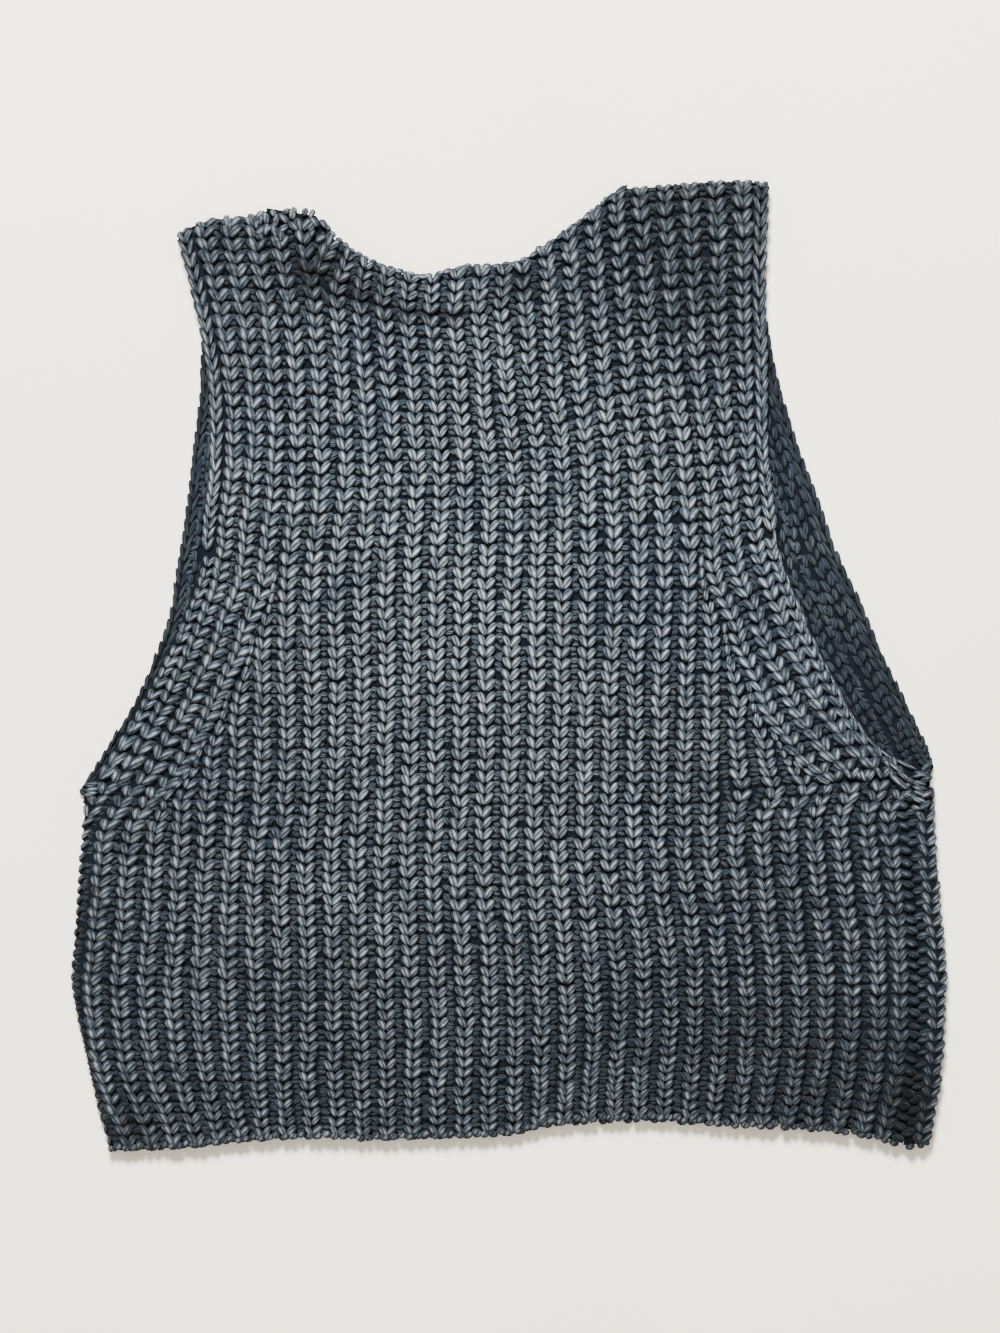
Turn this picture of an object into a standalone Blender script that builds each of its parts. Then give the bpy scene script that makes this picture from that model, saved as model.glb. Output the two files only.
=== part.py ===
# Knitted sweater vest, laid flat with its back up. Metres in Blender, millimetres in the tables.
# +Z is up from the surface it lies on, +Y runs from the hem to the neck, +X to the right.
# Three pieces: back and front in a heavy rib knit, and the ribbed neckband that joins them.
#
# Wales are the columns of the knit and courses its rows. A wale is numbered by the valley on
# its left: 0 lies near the middle, -17 is the left side seam and 16 the right one. Courses
# count up from the hem. Thickness is measured outwards from the plain inner face.

import math

import bpy

MM = 0.001

# Driving dimensions, in millimetres
WALL = 3.2                # plain wall of the knit, without its ribs
RIB = 1.8                 # how far a rib stands above the wall
FRONT_TOP = 4.6           # the front lies ribs down, pressed flat, so its wall is this thick
BACK_UNDER = 5.0          # underside of the back, over the front
INNER_RIB = 1.4           # valleys on the inside of the front, where the armholes show it
SEAM_GAP = 0.3            # between two pieces at a seam
SHOULDER_GAP = 0.8        # the same where the seam turns over a shoulder
TURN_INNER = 1.2          # inner radius where a side or a shoulder turns under
TURN_MIDDLE = 4.5         # height of the middle of that turn
TURN_RISE = 8.0           # length over which the layers part towards the turn
LEFT_SEAM_UNDER = 6.5     # the left side seam lies underneath, this far from the edge
RIGHT_SEAM_OVER = 16.0    # the right side seam shows on top, this far from the edge
CALM_EDGE = 40.0          # swells of the back die out this far from its sides and shoulders
WIDEST = 240.0            # half the width of the vest
BAND_LEFT = -105.0        # free edge of the neckband on the left shoulder
BAND_RIGHT = 56.0         # and on the right one
BAND_ROUNDING = 1.5       # that edge is rounded over this width
NECK_STEP = 0.3           # the last rows of a panel close up on the neck seam by this much
CENTRE = (-0.95, 0.5)     # middle of the outline in the tables, which lies over the origin

TURN_OUTER = TURN_INNER + WALL + RIB
TURN_LENGTH = math.pi * (TURN_INNER + WALL / 2)
TURN_BOTTOM = TURN_MIDDLE - TURN_INNER
TURN_TOP = TURN_MIDDLE + TURN_INNER
FLATTEN_FROM = -10             # degrees below the middle of a turn where its ribs flatten
FLATTEN_OVER = 45              # and the degrees that this takes

# Wales
LEFT_SEAM, LEFT_INNER = -17, -9
RIGHT_INNER, RIGHT_SEAM = 8, 16
NECK_LEFT, NECK_RIGHT = -9, 6
OUTER_WALES = 8                # from an inner wale to the side seam
SELVEDGE = 0.55                # width of the chain edge of an armhole, in wales
SELVEDGE_GROWS = 3.0           # courses over which it reaches that width
RIB_SHOULDERS = (0.28, 0.72)   # where a rib reaches its full height, in wales
VALLEY_REACH = 0.01            # a point this near a whole wale lies in its valley
SHOWN_WALES = 5                # ribbed wales on the inside of the front, at each armhole
WRAPPED_WALES = 2              # wales of the front that turn up over the right side

# Courses
UNDERARM = 32.0
SEAM_LEAVES = 25.0             # from here up the side seams move out to the very edge
LAST_SIDE = 31.9
SHOULDER = 78.0
HIGHEST = 82.0

# Wales that end beside an armhole, from the inner one outwards: the course where each stops
DECREASES = (51.5, 46.0, 41.0, 36.5, 33.5)
NARROWING = 5.0                # courses over which such a wale narrows
LAST_SLIVER = 1.0              # and the last of them, where its ribs are left out

# Both edges of the vest from the hem to the underarms
EDGE_COLUMNS = ("course", "left_x", "left_y", "right_x", "right_y")
SIDES = (
    (0, -222, -266, 233, -265),
    (5, -230, -238, 239, -237),
    (10, -237, -210, 242, -209),
    (15, -242, -181, 242, -181),
    (20, -240, -151, 240, -151),
    (26, -238, -114, 237, -111),
    (32, -236, -72, 234, -61),
)

# Armhole edges of each panel, from the underarms to the shoulders
BACK_ARMHOLES = (
    (32, -233, -69, 229, -60),
    (36, -219, -47, 204, -44),
    (40, -205, -23, 188, -21),
    (44, -192, 1, 174, 6),
    (48, -180, 26, 161, 34),
    (52, -171, 53, 151, 63),
    (56, -168, 81, 146, 93),
    (60, -165, 109, 143, 122),
    (66, -165, 150, 143, 167),
    (72, -172, 193, 142, 213),
    (78, -183, 235, 144, 260),
)
FRONT_ARMHOLES = (
    (32, -237, -70, 235, -57),
    (36, -223, -47, 231, -44),
    (40, -208, -23, 220, -21),
    (44, -197, 1, 207, 6),
    (48, -188, 26, 195, 34),
    (52, -184, 53, 181, 63),
    (56, -179, 81, 171, 93),
    (60, -176, 109, 160, 122),
    (66, -171, 150, 147, 167),
    (72, -171, 193, 141, 213),
    (78, -181, 235, 142, 260),
)

# The straight wales between the armholes: the outermost two and the middle
INNER_COLUMNS = ("course", "left_x", "left_y", "middle_y", "right_x", "right_y")
BACK_INNER = (
    (0, -128, -261, -257, 106, -251),
    (5, -130, -235, -232, 108, -225),
    (10, -131, -208, -205, 110, -199),
    (15, -132, -180, -177, 111, -172),
    (20, -132, -150, -148, 110, -144),
    (26, -132, -115, -109, 108, -107),
    (32, -130, -77, -71, 103, -71),
    (40, -129, -29, -21, 104, -24),
    (48, -129, 21, 29, 106, 28),
    (52, -129, 48, 54, 106, 56),
    (60, -123, 104, 105, 103, 116),
    (66, -123, 147, 143, 98, 161),
    (72, -126, 192, 182, 95, 207),
    (78, -133, 235, 221, 92, 255),
)
FRONT_INNER = (
    (0, -116, -261, -257, 134, -251),
    (10, -116, -208, -205, 134, -199),
    (20, -116, -150, -148, 134, -144),
    (32, -118, -77, -71, 134, -71),
    (40, -121, -29, -21, 134, -24),
    (48, -126, 21, 29, 134, 28),
    (52, -129, 48, 54, 131, 56),
    (60, -126, 104, 105, 111, 116),
    (66, -124, 147, 143, 100, 161),
    (72, -126, 192, 182, 95, 207),
    (78, -133, 235, 221, 92, 255),
)

# Top edge of both shoulders, where back turns into front, and the seams with the neckband
LINE_COLUMNS = ("x", "y")
LEFT_FOLD = ((-186, 236), (-175, 242), (-164, 246), (-153, 247), (-142, 248), (-133, 251),
             (-120, 254), (-105, 252), (-95, 250))
RIGHT_FOLD = ((52, 262), (62, 263), (78, 264), (100, 266), (122, 267), (150, 266))
BACK_NECK = ((-133, 251), (-116, 215), (-101, 205), (-75, 198), (-48, 193), (-22, 192),
             (5, 198), (31, 211), (55, 229), (65, 263))
FRONT_NECK = ((-133, 251), (-122, 180), (-105, 147), (-76, 131), (-35, 126), (6, 131),
              (38, 150), (54, 185), (65, 263))

# Free edge of the neckband: the wale it continues, and where that wale ends
BAND_COLUMNS = ("wale", "x", "y")
BACK_BAND = ((-9, -103, 246), (-8, -98, 240), (-7, -90, 232), (-6, -82, 226), (-5, -72, 221),
             (-4, -60, 217), (-3, -46, 214), (-2, -34, 217), (-1, -21, 220), (0, -8, 220),
             (1, 5, 222), (2, 17, 228), (3, 29, 237), (4, 41, 246), (5, 49, 252), (6, 54, 256))
FRONT_BAND = ((-9, -103, 234), (-8, -101, 200), (-7, -92, 174), (-6, -78, 160), (-5, -65, 154),
              (-3, -42, 150), (-1, -20, 151), (1, 0, 158), (2, 12, 165), (3, 24, 176),
              (4, 32, 190), (5, 38, 210), (6, 46, 244))

# Soft swells of the back, and how it sags into the lower front neckline
SWELL_COLUMNS = ("x", "y", "reach_x", "reach_y", "lift")
SWELLS = (
    (-150, -160, 60, 75, 1.6),
    (-40, -60, 80, 90, 1.2),
    (0, -190, 16, 95, -1.2),
    (60, -170, 50, 60, 1.5),
    (165, -120, 45, 80, 1.3),
    (200, -225, 26, 34, -1.0),
    (-90, 90, 50, 70, 1.0),
    (70, 110, 45, 70, 1.2),
)
NECK_SAG = (-32, 217, 45, 29, -0.6)

# How far parts of the hem are drawn up, above where its corners and middle would put it
HEM_RISES = ((-170, 0), (-150, 1.6), (-120, 2.0), (-95, 1.6), (-80, 0), (0, 0), (20, 4.4),
             (50, 5.0), (85, 3.5), (100, 0.8), (120, 0.5), (150, 3.3), (180, 5.0), (200, 4.0),
             (222, 0))
HEM_RISE_ENDS = 8.0            # courses above the hem where that has died out

# Courses of the mesh, close together where a seam moves or a wale ends
SIDE_COURSES = (0, 2, 6, 10, 15, 20, SEAM_LEAVES, 26.8, 28.3, 29.5, 30.7, LAST_SIDE)
ARMHOLE_COURSES = (32.3, 33, 35.3, 36, 38, 39.8, 40.5, 43, 44.8, 45.5, 48, 50.3, 51)
BACK_COURSES = ARMHOLE_COURSES + (56, 61, 66)
BACK_NECK_SHARES = (0.35, 0.7, 1.0)
FRONT_NECK_SHARES = (0.2, 0.4, 0.6, 0.8, 1.0)
TURN_STEPS = (60, 30, 4)       # degrees above the middle of a shoulder's turn
BAND_TURN_STEPS = (60, 30, 0, -30, -60)
HALVINGS = 30                  # of the search for a wale's last course

YARN = (0.105, 0.135, 0.175, 1.0)
YARN_ROUGHNESS = 0.95
SMOOTH_BELOW = math.radians(30)   # faces that meet at less than this are shaded as one


def mix(a, b, share):
    return a + (b - a) * share


def ease(t):
    """From 0 to 1 with soft ends."""
    t = min(max(t, 0.0), 1.0)
    return t * t * (3 - 2 * t)


def look_up(rows, columns, name, key):
    """Smooth curve through one column of a table, read at a value of its first column."""
    at = columns.index(name)
    keys = [row[0] for row in rows]
    if key <= keys[0]:
        return rows[0][at]
    if key >= keys[-1]:
        return rows[-1][at]
    i = max(k for k in range(len(keys) - 1) if keys[k] <= key)
    step = keys[i + 1] - keys[i]

    def slope(k):
        low, high = max(k - 1, 0), min(k + 1, len(keys) - 1)
        return (rows[high][at] - rows[low][at]) / (keys[high] - keys[low])

    t = (key - keys[i]) / step
    bend = (t ** 3 - 2 * t ** 2 + t) * slope(i) + (t ** 3 - t ** 2) * slope(i + 1)
    return mix(rows[i][at], rows[i + 1][at], ease(t)) + bend * step


def line_y(rows, x):
    return look_up(rows, LINE_COLUMNS, "y", x)


def fold_y(x):
    return line_y(LEFT_FOLD if x < 0 else RIGHT_FOLD, x)


def swell(x, y, row):
    spot = dict(zip(SWELL_COLUMNS, row))
    across = (x - spot["x"]) / spot["reach_x"]
    along = (y - spot["y"]) / spot["reach_y"]
    return spot["lift"] * math.exp(-across ** 2 - along ** 2)


def back_lift(x, y):
    """How far the back lies above its usual height, or below it over the front neckline."""
    calm = ease((fold_y(x) - y) / CALM_EDGE) * ease((WIDEST - abs(x)) / CALM_EDGE)
    lift = sum(swell(x, y, row) for row in SWELLS)
    return max(lift, 0.0) * calm + swell(x, y, NECK_SAG)


def parting(inside):
    """1 where the layers meet a turn, 0 where they lie flat on each other."""
    return 1 - ease(inside / TURN_RISE)


def turned_out(angle, out):
    """Thickness on a turn: the ribs flatten towards the surface that the vest lies on."""
    if out == 0:
        return 0.0
    return mix(out, TURN_BOTTOM, ease((FLATTEN_FROM - math.degrees(angle)) / FLATTEN_OVER))


def turned_z(angle, out):
    return max(TURN_MIDDLE + (TURN_INNER + turned_out(angle, out)) * math.sin(angle), 0.0)


def turn_point(x, degrees, out):
    """A point on the turn of a shoulder, this far above or below its middle."""
    angle = math.radians(degrees)
    reach = TURN_INNER + turned_out(angle, out)
    return x, fold_y(x) - TURN_OUTER + reach * math.cos(angle), turned_z(angle, out)


def on_shoulder(wale):
    return wale <= NECK_LEFT or wale >= NECK_RIGHT


def ended(wale, course):
    """True above the course where a wale beside an armhole stops."""
    if LEFT_SEAM < wale < LEFT_INNER:
        k = math.ceil(LEFT_INNER - wale) - 1
    elif RIGHT_INNER < wale < RIGHT_SEAM:
        k = math.ceil(wale - RIGHT_INNER) - 1
    else:
        return False
    return k < len(DECREASES) and course > DECREASES[k] - LAST_SLIVER


def outer_share(distance, course):
    """How far towards the edge a point lies that is this many wales outside an inner wale."""
    if distance > OUTER_WALES:
        return 1.0
    widths = [ease((stop - course) / NARROWING) for stop in DECREASES]
    widths += [1.0] * (OUTER_WALES - len(widths))
    grown = ease((course - UNDERARM + 1) / SELVEDGE_GROWS) if course > UNDERARM else 0.0
    whole = min(int(distance), OUTER_WALES - 1)
    reached = sum(widths[:whole]) + (distance - whole) * widths[whole]
    return reached / (sum(widths) + SELVEDGE * grown)


class Panel:
    """Back or front: where its wales run, and where its inner and outer faces lie."""

    def __init__(self, on_top, inner, armholes, neck, band):
        self.on_top = on_top
        self.inner = inner
        self.armholes = armholes
        self.neck = neck
        self.band = band

    def edge(self, name, course):
        rows = SIDES if course < UNDERARM else self.armholes
        return look_up(rows, EDGE_COLUMNS, name, course)

    def middle(self, name, course):
        return look_up(self.inner, INNER_COLUMNS, name, course)

    def seam_turns(self, course):
        """How far the seams lie round the side turns, from the end of this panel's flat part."""
        rise = ease((course - SEAM_LEAVES) / (LAST_SIDE - SEAM_LEAVES))
        left = mix(TURN_LENGTH + LEFT_SEAM_UNDER - TURN_OUTER, TURN_LENGTH / 2, rise)
        right = mix(TURN_OUTER - RIGHT_SEAM_OVER, TURN_LENGTH / 2, rise)
        if not self.on_top:
            left, right = TURN_LENGTH - left, TURN_LENGTH - right
        return left - SEAM_GAP / 2, right - SEAM_GAP / 2

    def place(self, wale, course):
        """Sideways distance along the cloth, and y, of a point of the panel."""
        x, y = self.even_place(wale, course)
        return x, y + line_y(HEM_RISES, x) * (1 - ease(course / HEM_RISE_ENDS))

    def even_place(self, wale, course):
        """The same with a hem that runs straight between its corners and its middle."""
        left_x, left_y = self.edge("left_x", course), self.edge("left_y", course)
        right_x, right_y = self.edge("right_x", course), self.edge("right_y", course)
        if course < UNDERARM:
            left_turn, right_turn = self.seam_turns(course)
            left_x += TURN_OUTER - left_turn
            right_x += right_turn - TURN_OUTER
        inner_left, inner_right = self.middle("left_x", course), self.middle("right_x", course)
        if wale < LEFT_INNER:
            share = outer_share(LEFT_INNER - wale, course)
            y = mix(self.middle("left_y", course), left_y, share)
            return mix(inner_left, left_x, share), y
        if wale > RIGHT_INNER:
            share = outer_share(wale - RIGHT_INNER, course)
            y = mix(self.middle("right_y", course), right_y, share)
            return mix(inner_right, right_x, share), y
        x = mix(inner_left, inner_right, (wale - LEFT_INNER) / (RIGHT_INNER - LEFT_INNER))
        side, outward = ("left_y", wale / LEFT_INNER) if wale < 0 else ("right_y", wale / RIGHT_INNER)
        return x, mix(self.middle("middle_y", course), self.middle(side, course), ease(outward))

    def flat_point(self, x, y, near, out):
        """A point where the panel lies flat, near a turn (1) or away from it (0)."""
        if self.on_top:
            return x, y, mix(BACK_UNDER + back_lift(x, y), TURN_TOP, near) + out
        return x, y, mix(FRONT_TOP, TURN_BOTTOM, near) if out == 0 else 0.0

    def side_point(self, wale, course, out):
        """A point below the armholes, where the cloth turns round the side edges."""
        along, y = self.place(wale, course)
        left = self.edge("left_x", course) + TURN_OUTER
        right = self.edge("right_x", course) - TURN_OUTER
        if left <= along <= right:
            return self.flat_point(along, y, parting(min(along - left, right - along)), out)
        sign, start = (-1, left) if along < left else (1, right)
        beyond = (along - start) * sign
        if beyond <= TURN_LENGTH:
            angle = math.pi / 2 - math.pi * beyond / TURN_LENGTH
            if not self.on_top:
                angle = -angle
            reach = TURN_INNER + turned_out(angle, out)
            return start + sign * reach * math.cos(angle), y, turned_z(angle, out)
        inside = beyond - TURN_LENGTH
        other = FRONT if self.on_top else BACK
        return other.flat_point(start - sign * inside, y, parting(inside), out)

    def end_y(self, wale, x):
        return fold_y(x) - TURN_OUTER if on_shoulder(wale) else line_y(self.neck, x)

    def top_course(self, wale):
        """Course where a wale meets its neck seam, or where its shoulder starts to turn."""
        low, high = DECREASES[0], HIGHEST
        for _ in range(HALVINGS):
            course = (low + high) / 2
            x, y = self.place(wale, course)
            low, high = (course, high) if y < self.end_y(wale, x) else (low, course)
        return low

    def top_place(self, wale):
        return self.place(wale, self.top_course(wale))

    def free_point(self, wale, course, out):
        """A point above the underarms, where the panel ends in free edges."""
        x, y = self.place(wale, course)
        near = parting(self.end_y(wale, x) - y) if on_shoulder(wale) else 0.0
        return self.flat_point(x, y, near, out)


BACK = Panel(True, BACK_INNER, BACK_ARMHOLES, BACK_NECK, BACK_BAND)
FRONT = Panel(False, FRONT_INNER, FRONT_ARMHOLES, FRONT_NECK, FRONT_BAND)


def is_valley(wale):
    return abs(wale - round(wale)) < VALLEY_REACH


def ribbed(wale):
    return WALL if is_valley(wale) else WALL + RIB


def wales_at(course, picks):
    """Points along a course: each valley, and both shoulders of the ribs that picks() names."""
    found = []
    for valley in range(LEFT_SEAM, RIGHT_SEAM + 1):
        found.append(float(valley))
        if valley < RIGHT_SEAM and picks(valley):
            found.extend(valley + share for share in RIB_SHOULDERS)
    if course > UNDERARM:
        found = [LEFT_SEAM - 1.0] + found + [RIGHT_SEAM + 1.0]
    return [wale for wale in found if not ended(wale, course)]


def all_ribs(_valley):
    return True


def no_ribs(_valley):
    return False


def armhole_ribs(valley):
    return valley < LEFT_SEAM + SHOWN_WALES or valley >= RIGHT_SEAM - SHOWN_WALES


def wrapped_ribs(valley):
    return valley >= RIGHT_SEAM - WRAPPED_WALES


def shown_valley(wale):
    """True in the valleys on the inside of the front that show in the armholes."""
    if not is_valley(wale) or not LEFT_SEAM <= wale <= RIGHT_SEAM:
        return False
    return wale < LEFT_SEAM + SHOWN_WALES or wale > RIGHT_SEAM - SHOWN_WALES


def side_row(panel, course):
    outer_picks = all_ribs if panel.on_top else wrapped_ribs
    outer = [(w, panel.side_point(w, course, ribbed(w))) for w in wales_at(course, outer_picks)]
    inner = [(w, panel.side_point(w, course, 0)) for w in wales_at(course, no_ribs)]
    return outer, inner


def free_row(panel, course_of, course, at_seam=False):
    """One row above the underarms. At the neck seam both faces have points at every rib."""
    outer_picks = all_ribs if panel.on_top or at_seam else no_ribs
    inner_picks = no_ribs if panel.on_top else armhole_ribs
    if at_seam:
        inner_picks = all_ribs
    outer = [(w, panel.free_point(w, course_of(w), ribbed(w))) for w in wales_at(course, outer_picks)]
    inner = []
    for wale in wales_at(course, inner_picks):
        x, y, z = panel.free_point(wale, course_of(wale), 0)
        cut = 0.0 if panel.on_top or not shown_valley(wale) else INNER_RIB
        inner.append((wale, (x, y, z - cut)))
    return outer, inner


def turn_row(panel, degrees, row, step):
    """A row round the shoulders. Meanwhile the neck's points close up on its seam."""
    side = 1 if panel.on_top else -1
    turned = []
    for points, is_inner in zip(row, (False, True)):
        found = []
        for wale, (x, y, z) in points:
            point = (x, y + step, z)
            if on_shoulder(wale):
                out = 0 if is_inner else ribbed(wale)
                point = turn_point(panel.top_place(wale)[0], side * degrees, out)
            found.append((wale, point))
        turned.append(found)
    return tuple(turned)


def panel_rows(panel, courses, neck_shares):
    rows = [side_row(panel, course) for course in SIDE_COURSES]
    rows += [free_row(panel, lambda wale, c=course: c, course) for course in courses]
    for share in neck_shares:

        def part_way(wale, s=share):
            return mix(courses[-1], panel.top_course(wale), s)

        rows.append(free_row(panel, part_way, SHOULDER, share == neck_shares[-1]))
    at_seam = rows[-1]
    for k, degrees in enumerate(TURN_STEPS):
        rows.append(turn_row(panel, degrees, at_seam, NECK_STEP * (k + 1)))
    return rows


class Skin:
    """Collects the points and triangles of one closed body."""

    def __init__(self):
        self.points = []
        self.faces = []

    def add(self, row):
        start = len(self.points)
        for _, (x, y, z) in row:
            self.points.append(((x - CENTRE[0]) * MM, (y - CENTRE[1]) * MM, z * MM))
        return [(key, start + i) for i, (key, _) in enumerate(row)]

    def zip(self, low, high):
        """Triangles between two rows of (key, index) with rising keys."""
        i = j = 0
        while i < len(low) - 1 or j < len(high) - 1:
            on_low = i < len(low) - 1
            if on_low and j < len(high) - 1:
                on_low = low[i + 1][0] <= high[j + 1][0]
            if on_low:
                self.faces.append((low[i][1], low[i + 1][1], high[j][1]))
                i += 1
            else:
                self.faces.append((low[i][1], high[j + 1][1], high[j][1]))
                j += 1

    def quad(self, a, b, c, d):
        self.faces.append((a, b, c))
        self.faces.append((a, c, d))

    def make(self, name, flip=False):
        mesh = bpy.data.meshes.new(name)
        faces = [face[::-1] for face in self.faces] if flip else self.faces
        mesh.from_pydata(self.points, [], faces)
        mesh.update()
        mesh.shade_smooth()
        mesh.set_sharp_from_angle(angle=SMOOTH_BELOW)
        mesh.materials.append(knit_material(name))
        piece = bpy.data.objects.new(name, mesh)
        bpy.context.scene.collection.objects.link(piece)


def make_panel(name, panel, courses, neck_shares):
    """Closes a wall given as rows of outer and inner points."""
    skin = Skin()
    rows = [(skin.add(outer), skin.add(inner)) for outer, inner in panel_rows(panel, courses, neck_shares)]
    for (outer, inner), (next_outer, next_inner) in zip(rows, rows[1:]):
        skin.zip(outer, next_outer)
        skin.zip(next_inner, inner)
        skin.quad(outer[0][1], next_outer[0][1], next_inner[0][1], inner[0][1])
        skin.quad(inner[-1][1], next_inner[-1][1], next_outer[-1][1], outer[-1][1])
    hem_outer, hem_inner = rows[0]
    skin.zip(hem_inner, hem_outer)
    neck_outer, neck_inner = rows[-1]
    skin.zip(neck_outer, neck_inner)
    skin.make(name, flip=not panel.on_top)


def band_wales():
    """Wales along a neck seam, at every valley and rib, without the shoulders' own."""
    found = []
    for valley in range(NECK_LEFT, NECK_RIGHT):
        found.extend(valley + share for share in (0.0,) + RIB_SHOULDERS)
    return found[1:]


def band_ends(panel, wale):
    """Where a wale of the neckband starts, a seam's gap from its panel, and where it ends."""
    x, y = panel.top_place(wale)
    y += NECK_STEP * len(TURN_STEPS)
    end_x = look_up(panel.band, BAND_COLUMNS, "x", wale)
    end_y = look_up(panel.band, BAND_COLUMNS, "y", wale)
    share = SEAM_GAP / math.hypot(end_x - x, end_y - y)
    return (mix(x, end_x, share), mix(y, end_y, share)), (end_x, end_y)


def band_profile(full, width):
    """Round a section of the neckband: share of the way to its free edge, and thickness."""
    rounding = BAND_ROUNDING / width
    return (
        (0.0, 0.0),
        (0.0, full),
        (0.5, full),
        (1 - rounding, full),
        (1.0, full / 2),
        (1 - rounding / 2, 0.0),
    )


def band_station(panel, wale):
    """A section of the neckband where it lies flat."""
    start, end = band_ends(panel, wale)
    points = []
    for share, out in band_profile(ribbed(wale), math.dist(start, end)):
        x, y = mix(start[0], end[0], share), mix(start[1], end[1], share)
        near = parting(fold_y(x) - TURN_OUTER - y)
        x, y, z = panel.flat_point(x, y, near, out)
        if share == 1.0 and not panel.on_top:
            z = panel.flat_point(x, y, near, 0)[2] / 2
        points.append((wale, (x, y, z)))
    return points


def band_turn(seam, shoulder_x, edge_x, degrees):
    """A section of the neckband on a shoulder, beside the seam's way to the turn."""
    seam_x, seam_y = seam
    turn_y = turn_point(shoulder_x, degrees, WALL)[1]
    start = mix(seam_x, shoulder_x, (turn_y - seam_y) / (fold_y(shoulder_x) - seam_y))
    points = []
    for share, out in band_profile(WALL, abs(edge_x - start)):
        points.append((degrees, turn_point(mix(start, edge_x, share), degrees, out)))
    return points


def make_neckband():
    """One ring: along the back, over the right shoulder, along the front and up over the left."""
    wales = band_wales()

    def over_shoulder(beside, shoulder, gap, edge_x, steps):
        sections = []
        for degrees in steps:
            panel = BACK if degrees >= 0 else FRONT
            shoulder_x = panel.top_place(shoulder)[0] + gap
            sections.append(band_turn(band_ends(panel, beside)[0], shoulder_x, edge_x, degrees))
        return sections

    stations = [band_station(BACK, wale) for wale in wales]
    stations += over_shoulder(wales[-1], NECK_RIGHT, -SHOULDER_GAP, BAND_RIGHT, BAND_TURN_STEPS)
    stations += [band_station(FRONT, wale) for wale in wales[::-1]]
    stations += over_shoulder(wales[0], NECK_LEFT, SHOULDER_GAP, BAND_LEFT, BAND_TURN_STEPS[::-1])
    skin = Skin()
    rings = [skin.add(points) for points in stations]
    for ring, following in zip(rings, rings[1:] + rings[:1]):
        for k, (_, corner) in enumerate(ring):
            after = (k + 1) % len(ring)
            skin.quad(corner, following[k][1], following[after][1], ring[after][1])
    skin.make("neckband")


def knit_material(name):
    material = bpy.data.materials.new(name)
    material.use_nodes = True
    shader = material.node_tree.nodes["Principled BSDF"]
    shader.inputs["Base Color"].default_value = YARN
    shader.inputs["Roughness"].default_value = YARN_ROUGHNESS
    shader.inputs["Metallic"].default_value = 0.0
    return material


def clear_scene():
    for thing in list(bpy.data.objects):
        bpy.data.objects.remove(thing, do_unlink=True)


def main():
    clear_scene()
    make_panel("back", BACK, BACK_COURSES, BACK_NECK_SHARES)
    make_panel("front", FRONT, ARMHOLE_COURSES, FRONT_NECK_SHARES)
    make_neckband()


main()
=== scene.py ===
# Knitted sweater vest, laid flat with its back up. Millimetres in the tables, metres in Blender.
# +Z is up from the sheet it lies on, +Y runs from the hem to the neck, +X to the right.
#
# Wales are the columns of the knit and courses its rows. A wale is named by the valley on its
# left: 0 lies near the middle, -17 is the left side seam and 16 the right one. Courses count up
# from the hem. Heights are measured outwards from the inner face of a panel.

import math

import bpy
import numpy as np
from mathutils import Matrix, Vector


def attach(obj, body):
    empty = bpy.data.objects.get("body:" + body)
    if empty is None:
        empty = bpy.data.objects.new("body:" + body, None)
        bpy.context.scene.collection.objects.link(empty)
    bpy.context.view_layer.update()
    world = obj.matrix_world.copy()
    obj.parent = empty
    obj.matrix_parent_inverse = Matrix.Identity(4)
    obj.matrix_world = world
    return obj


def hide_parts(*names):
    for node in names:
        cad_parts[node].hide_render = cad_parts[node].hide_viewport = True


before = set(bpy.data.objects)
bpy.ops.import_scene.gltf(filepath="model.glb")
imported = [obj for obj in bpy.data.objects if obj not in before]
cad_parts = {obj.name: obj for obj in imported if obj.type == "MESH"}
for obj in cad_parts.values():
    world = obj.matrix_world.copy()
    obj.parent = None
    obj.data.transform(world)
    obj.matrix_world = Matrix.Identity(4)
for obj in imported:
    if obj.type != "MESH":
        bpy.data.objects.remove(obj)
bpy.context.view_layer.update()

mm = 0.001

# Layers of the cloth and how it turns at its sides and shoulders
cloth = {
    "wall": 3.2,              # plain wall of the knit
    "full": 5.0,              # wall and rib together
    "frontTop": 4.6,          # inner face of the front, which lies flat on the sheet
    "backUnder": 5.0,         # inner face of the back
    "turnInner": 1.2,         # inner radius of a turn
    "turnMiddle": 4.5,        # height of its middle
    "turnRise": 8.0,          # length over which the layers part towards it
    "flattenFrom": -10,       # degrees: from here down the ribs on a turn flatten
    "flattenOver": 45,
    "rightSeamOver": 16.0,    # the right side seam shows on top, this far from the edge
    "calmEdge": 40.0,         # swells of the back die out this far from its sides and shoulders
    "widest": 240.0,          # half the width of the vest
    "seamGap": 0.3,           # between two pieces at a seam
    "centre": (-0.95, 0.5),   # the point of the tables that lies over the origin
}
turnOuter = cloth["turnInner"] + cloth["full"]
turnLength = math.pi * (cloth["turnInner"] + cloth["wall"] / 2)
turnBottom = cloth["turnMiddle"] - cloth["turnInner"]
turnTop = cloth["turnMiddle"] + cloth["turnInner"]

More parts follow.
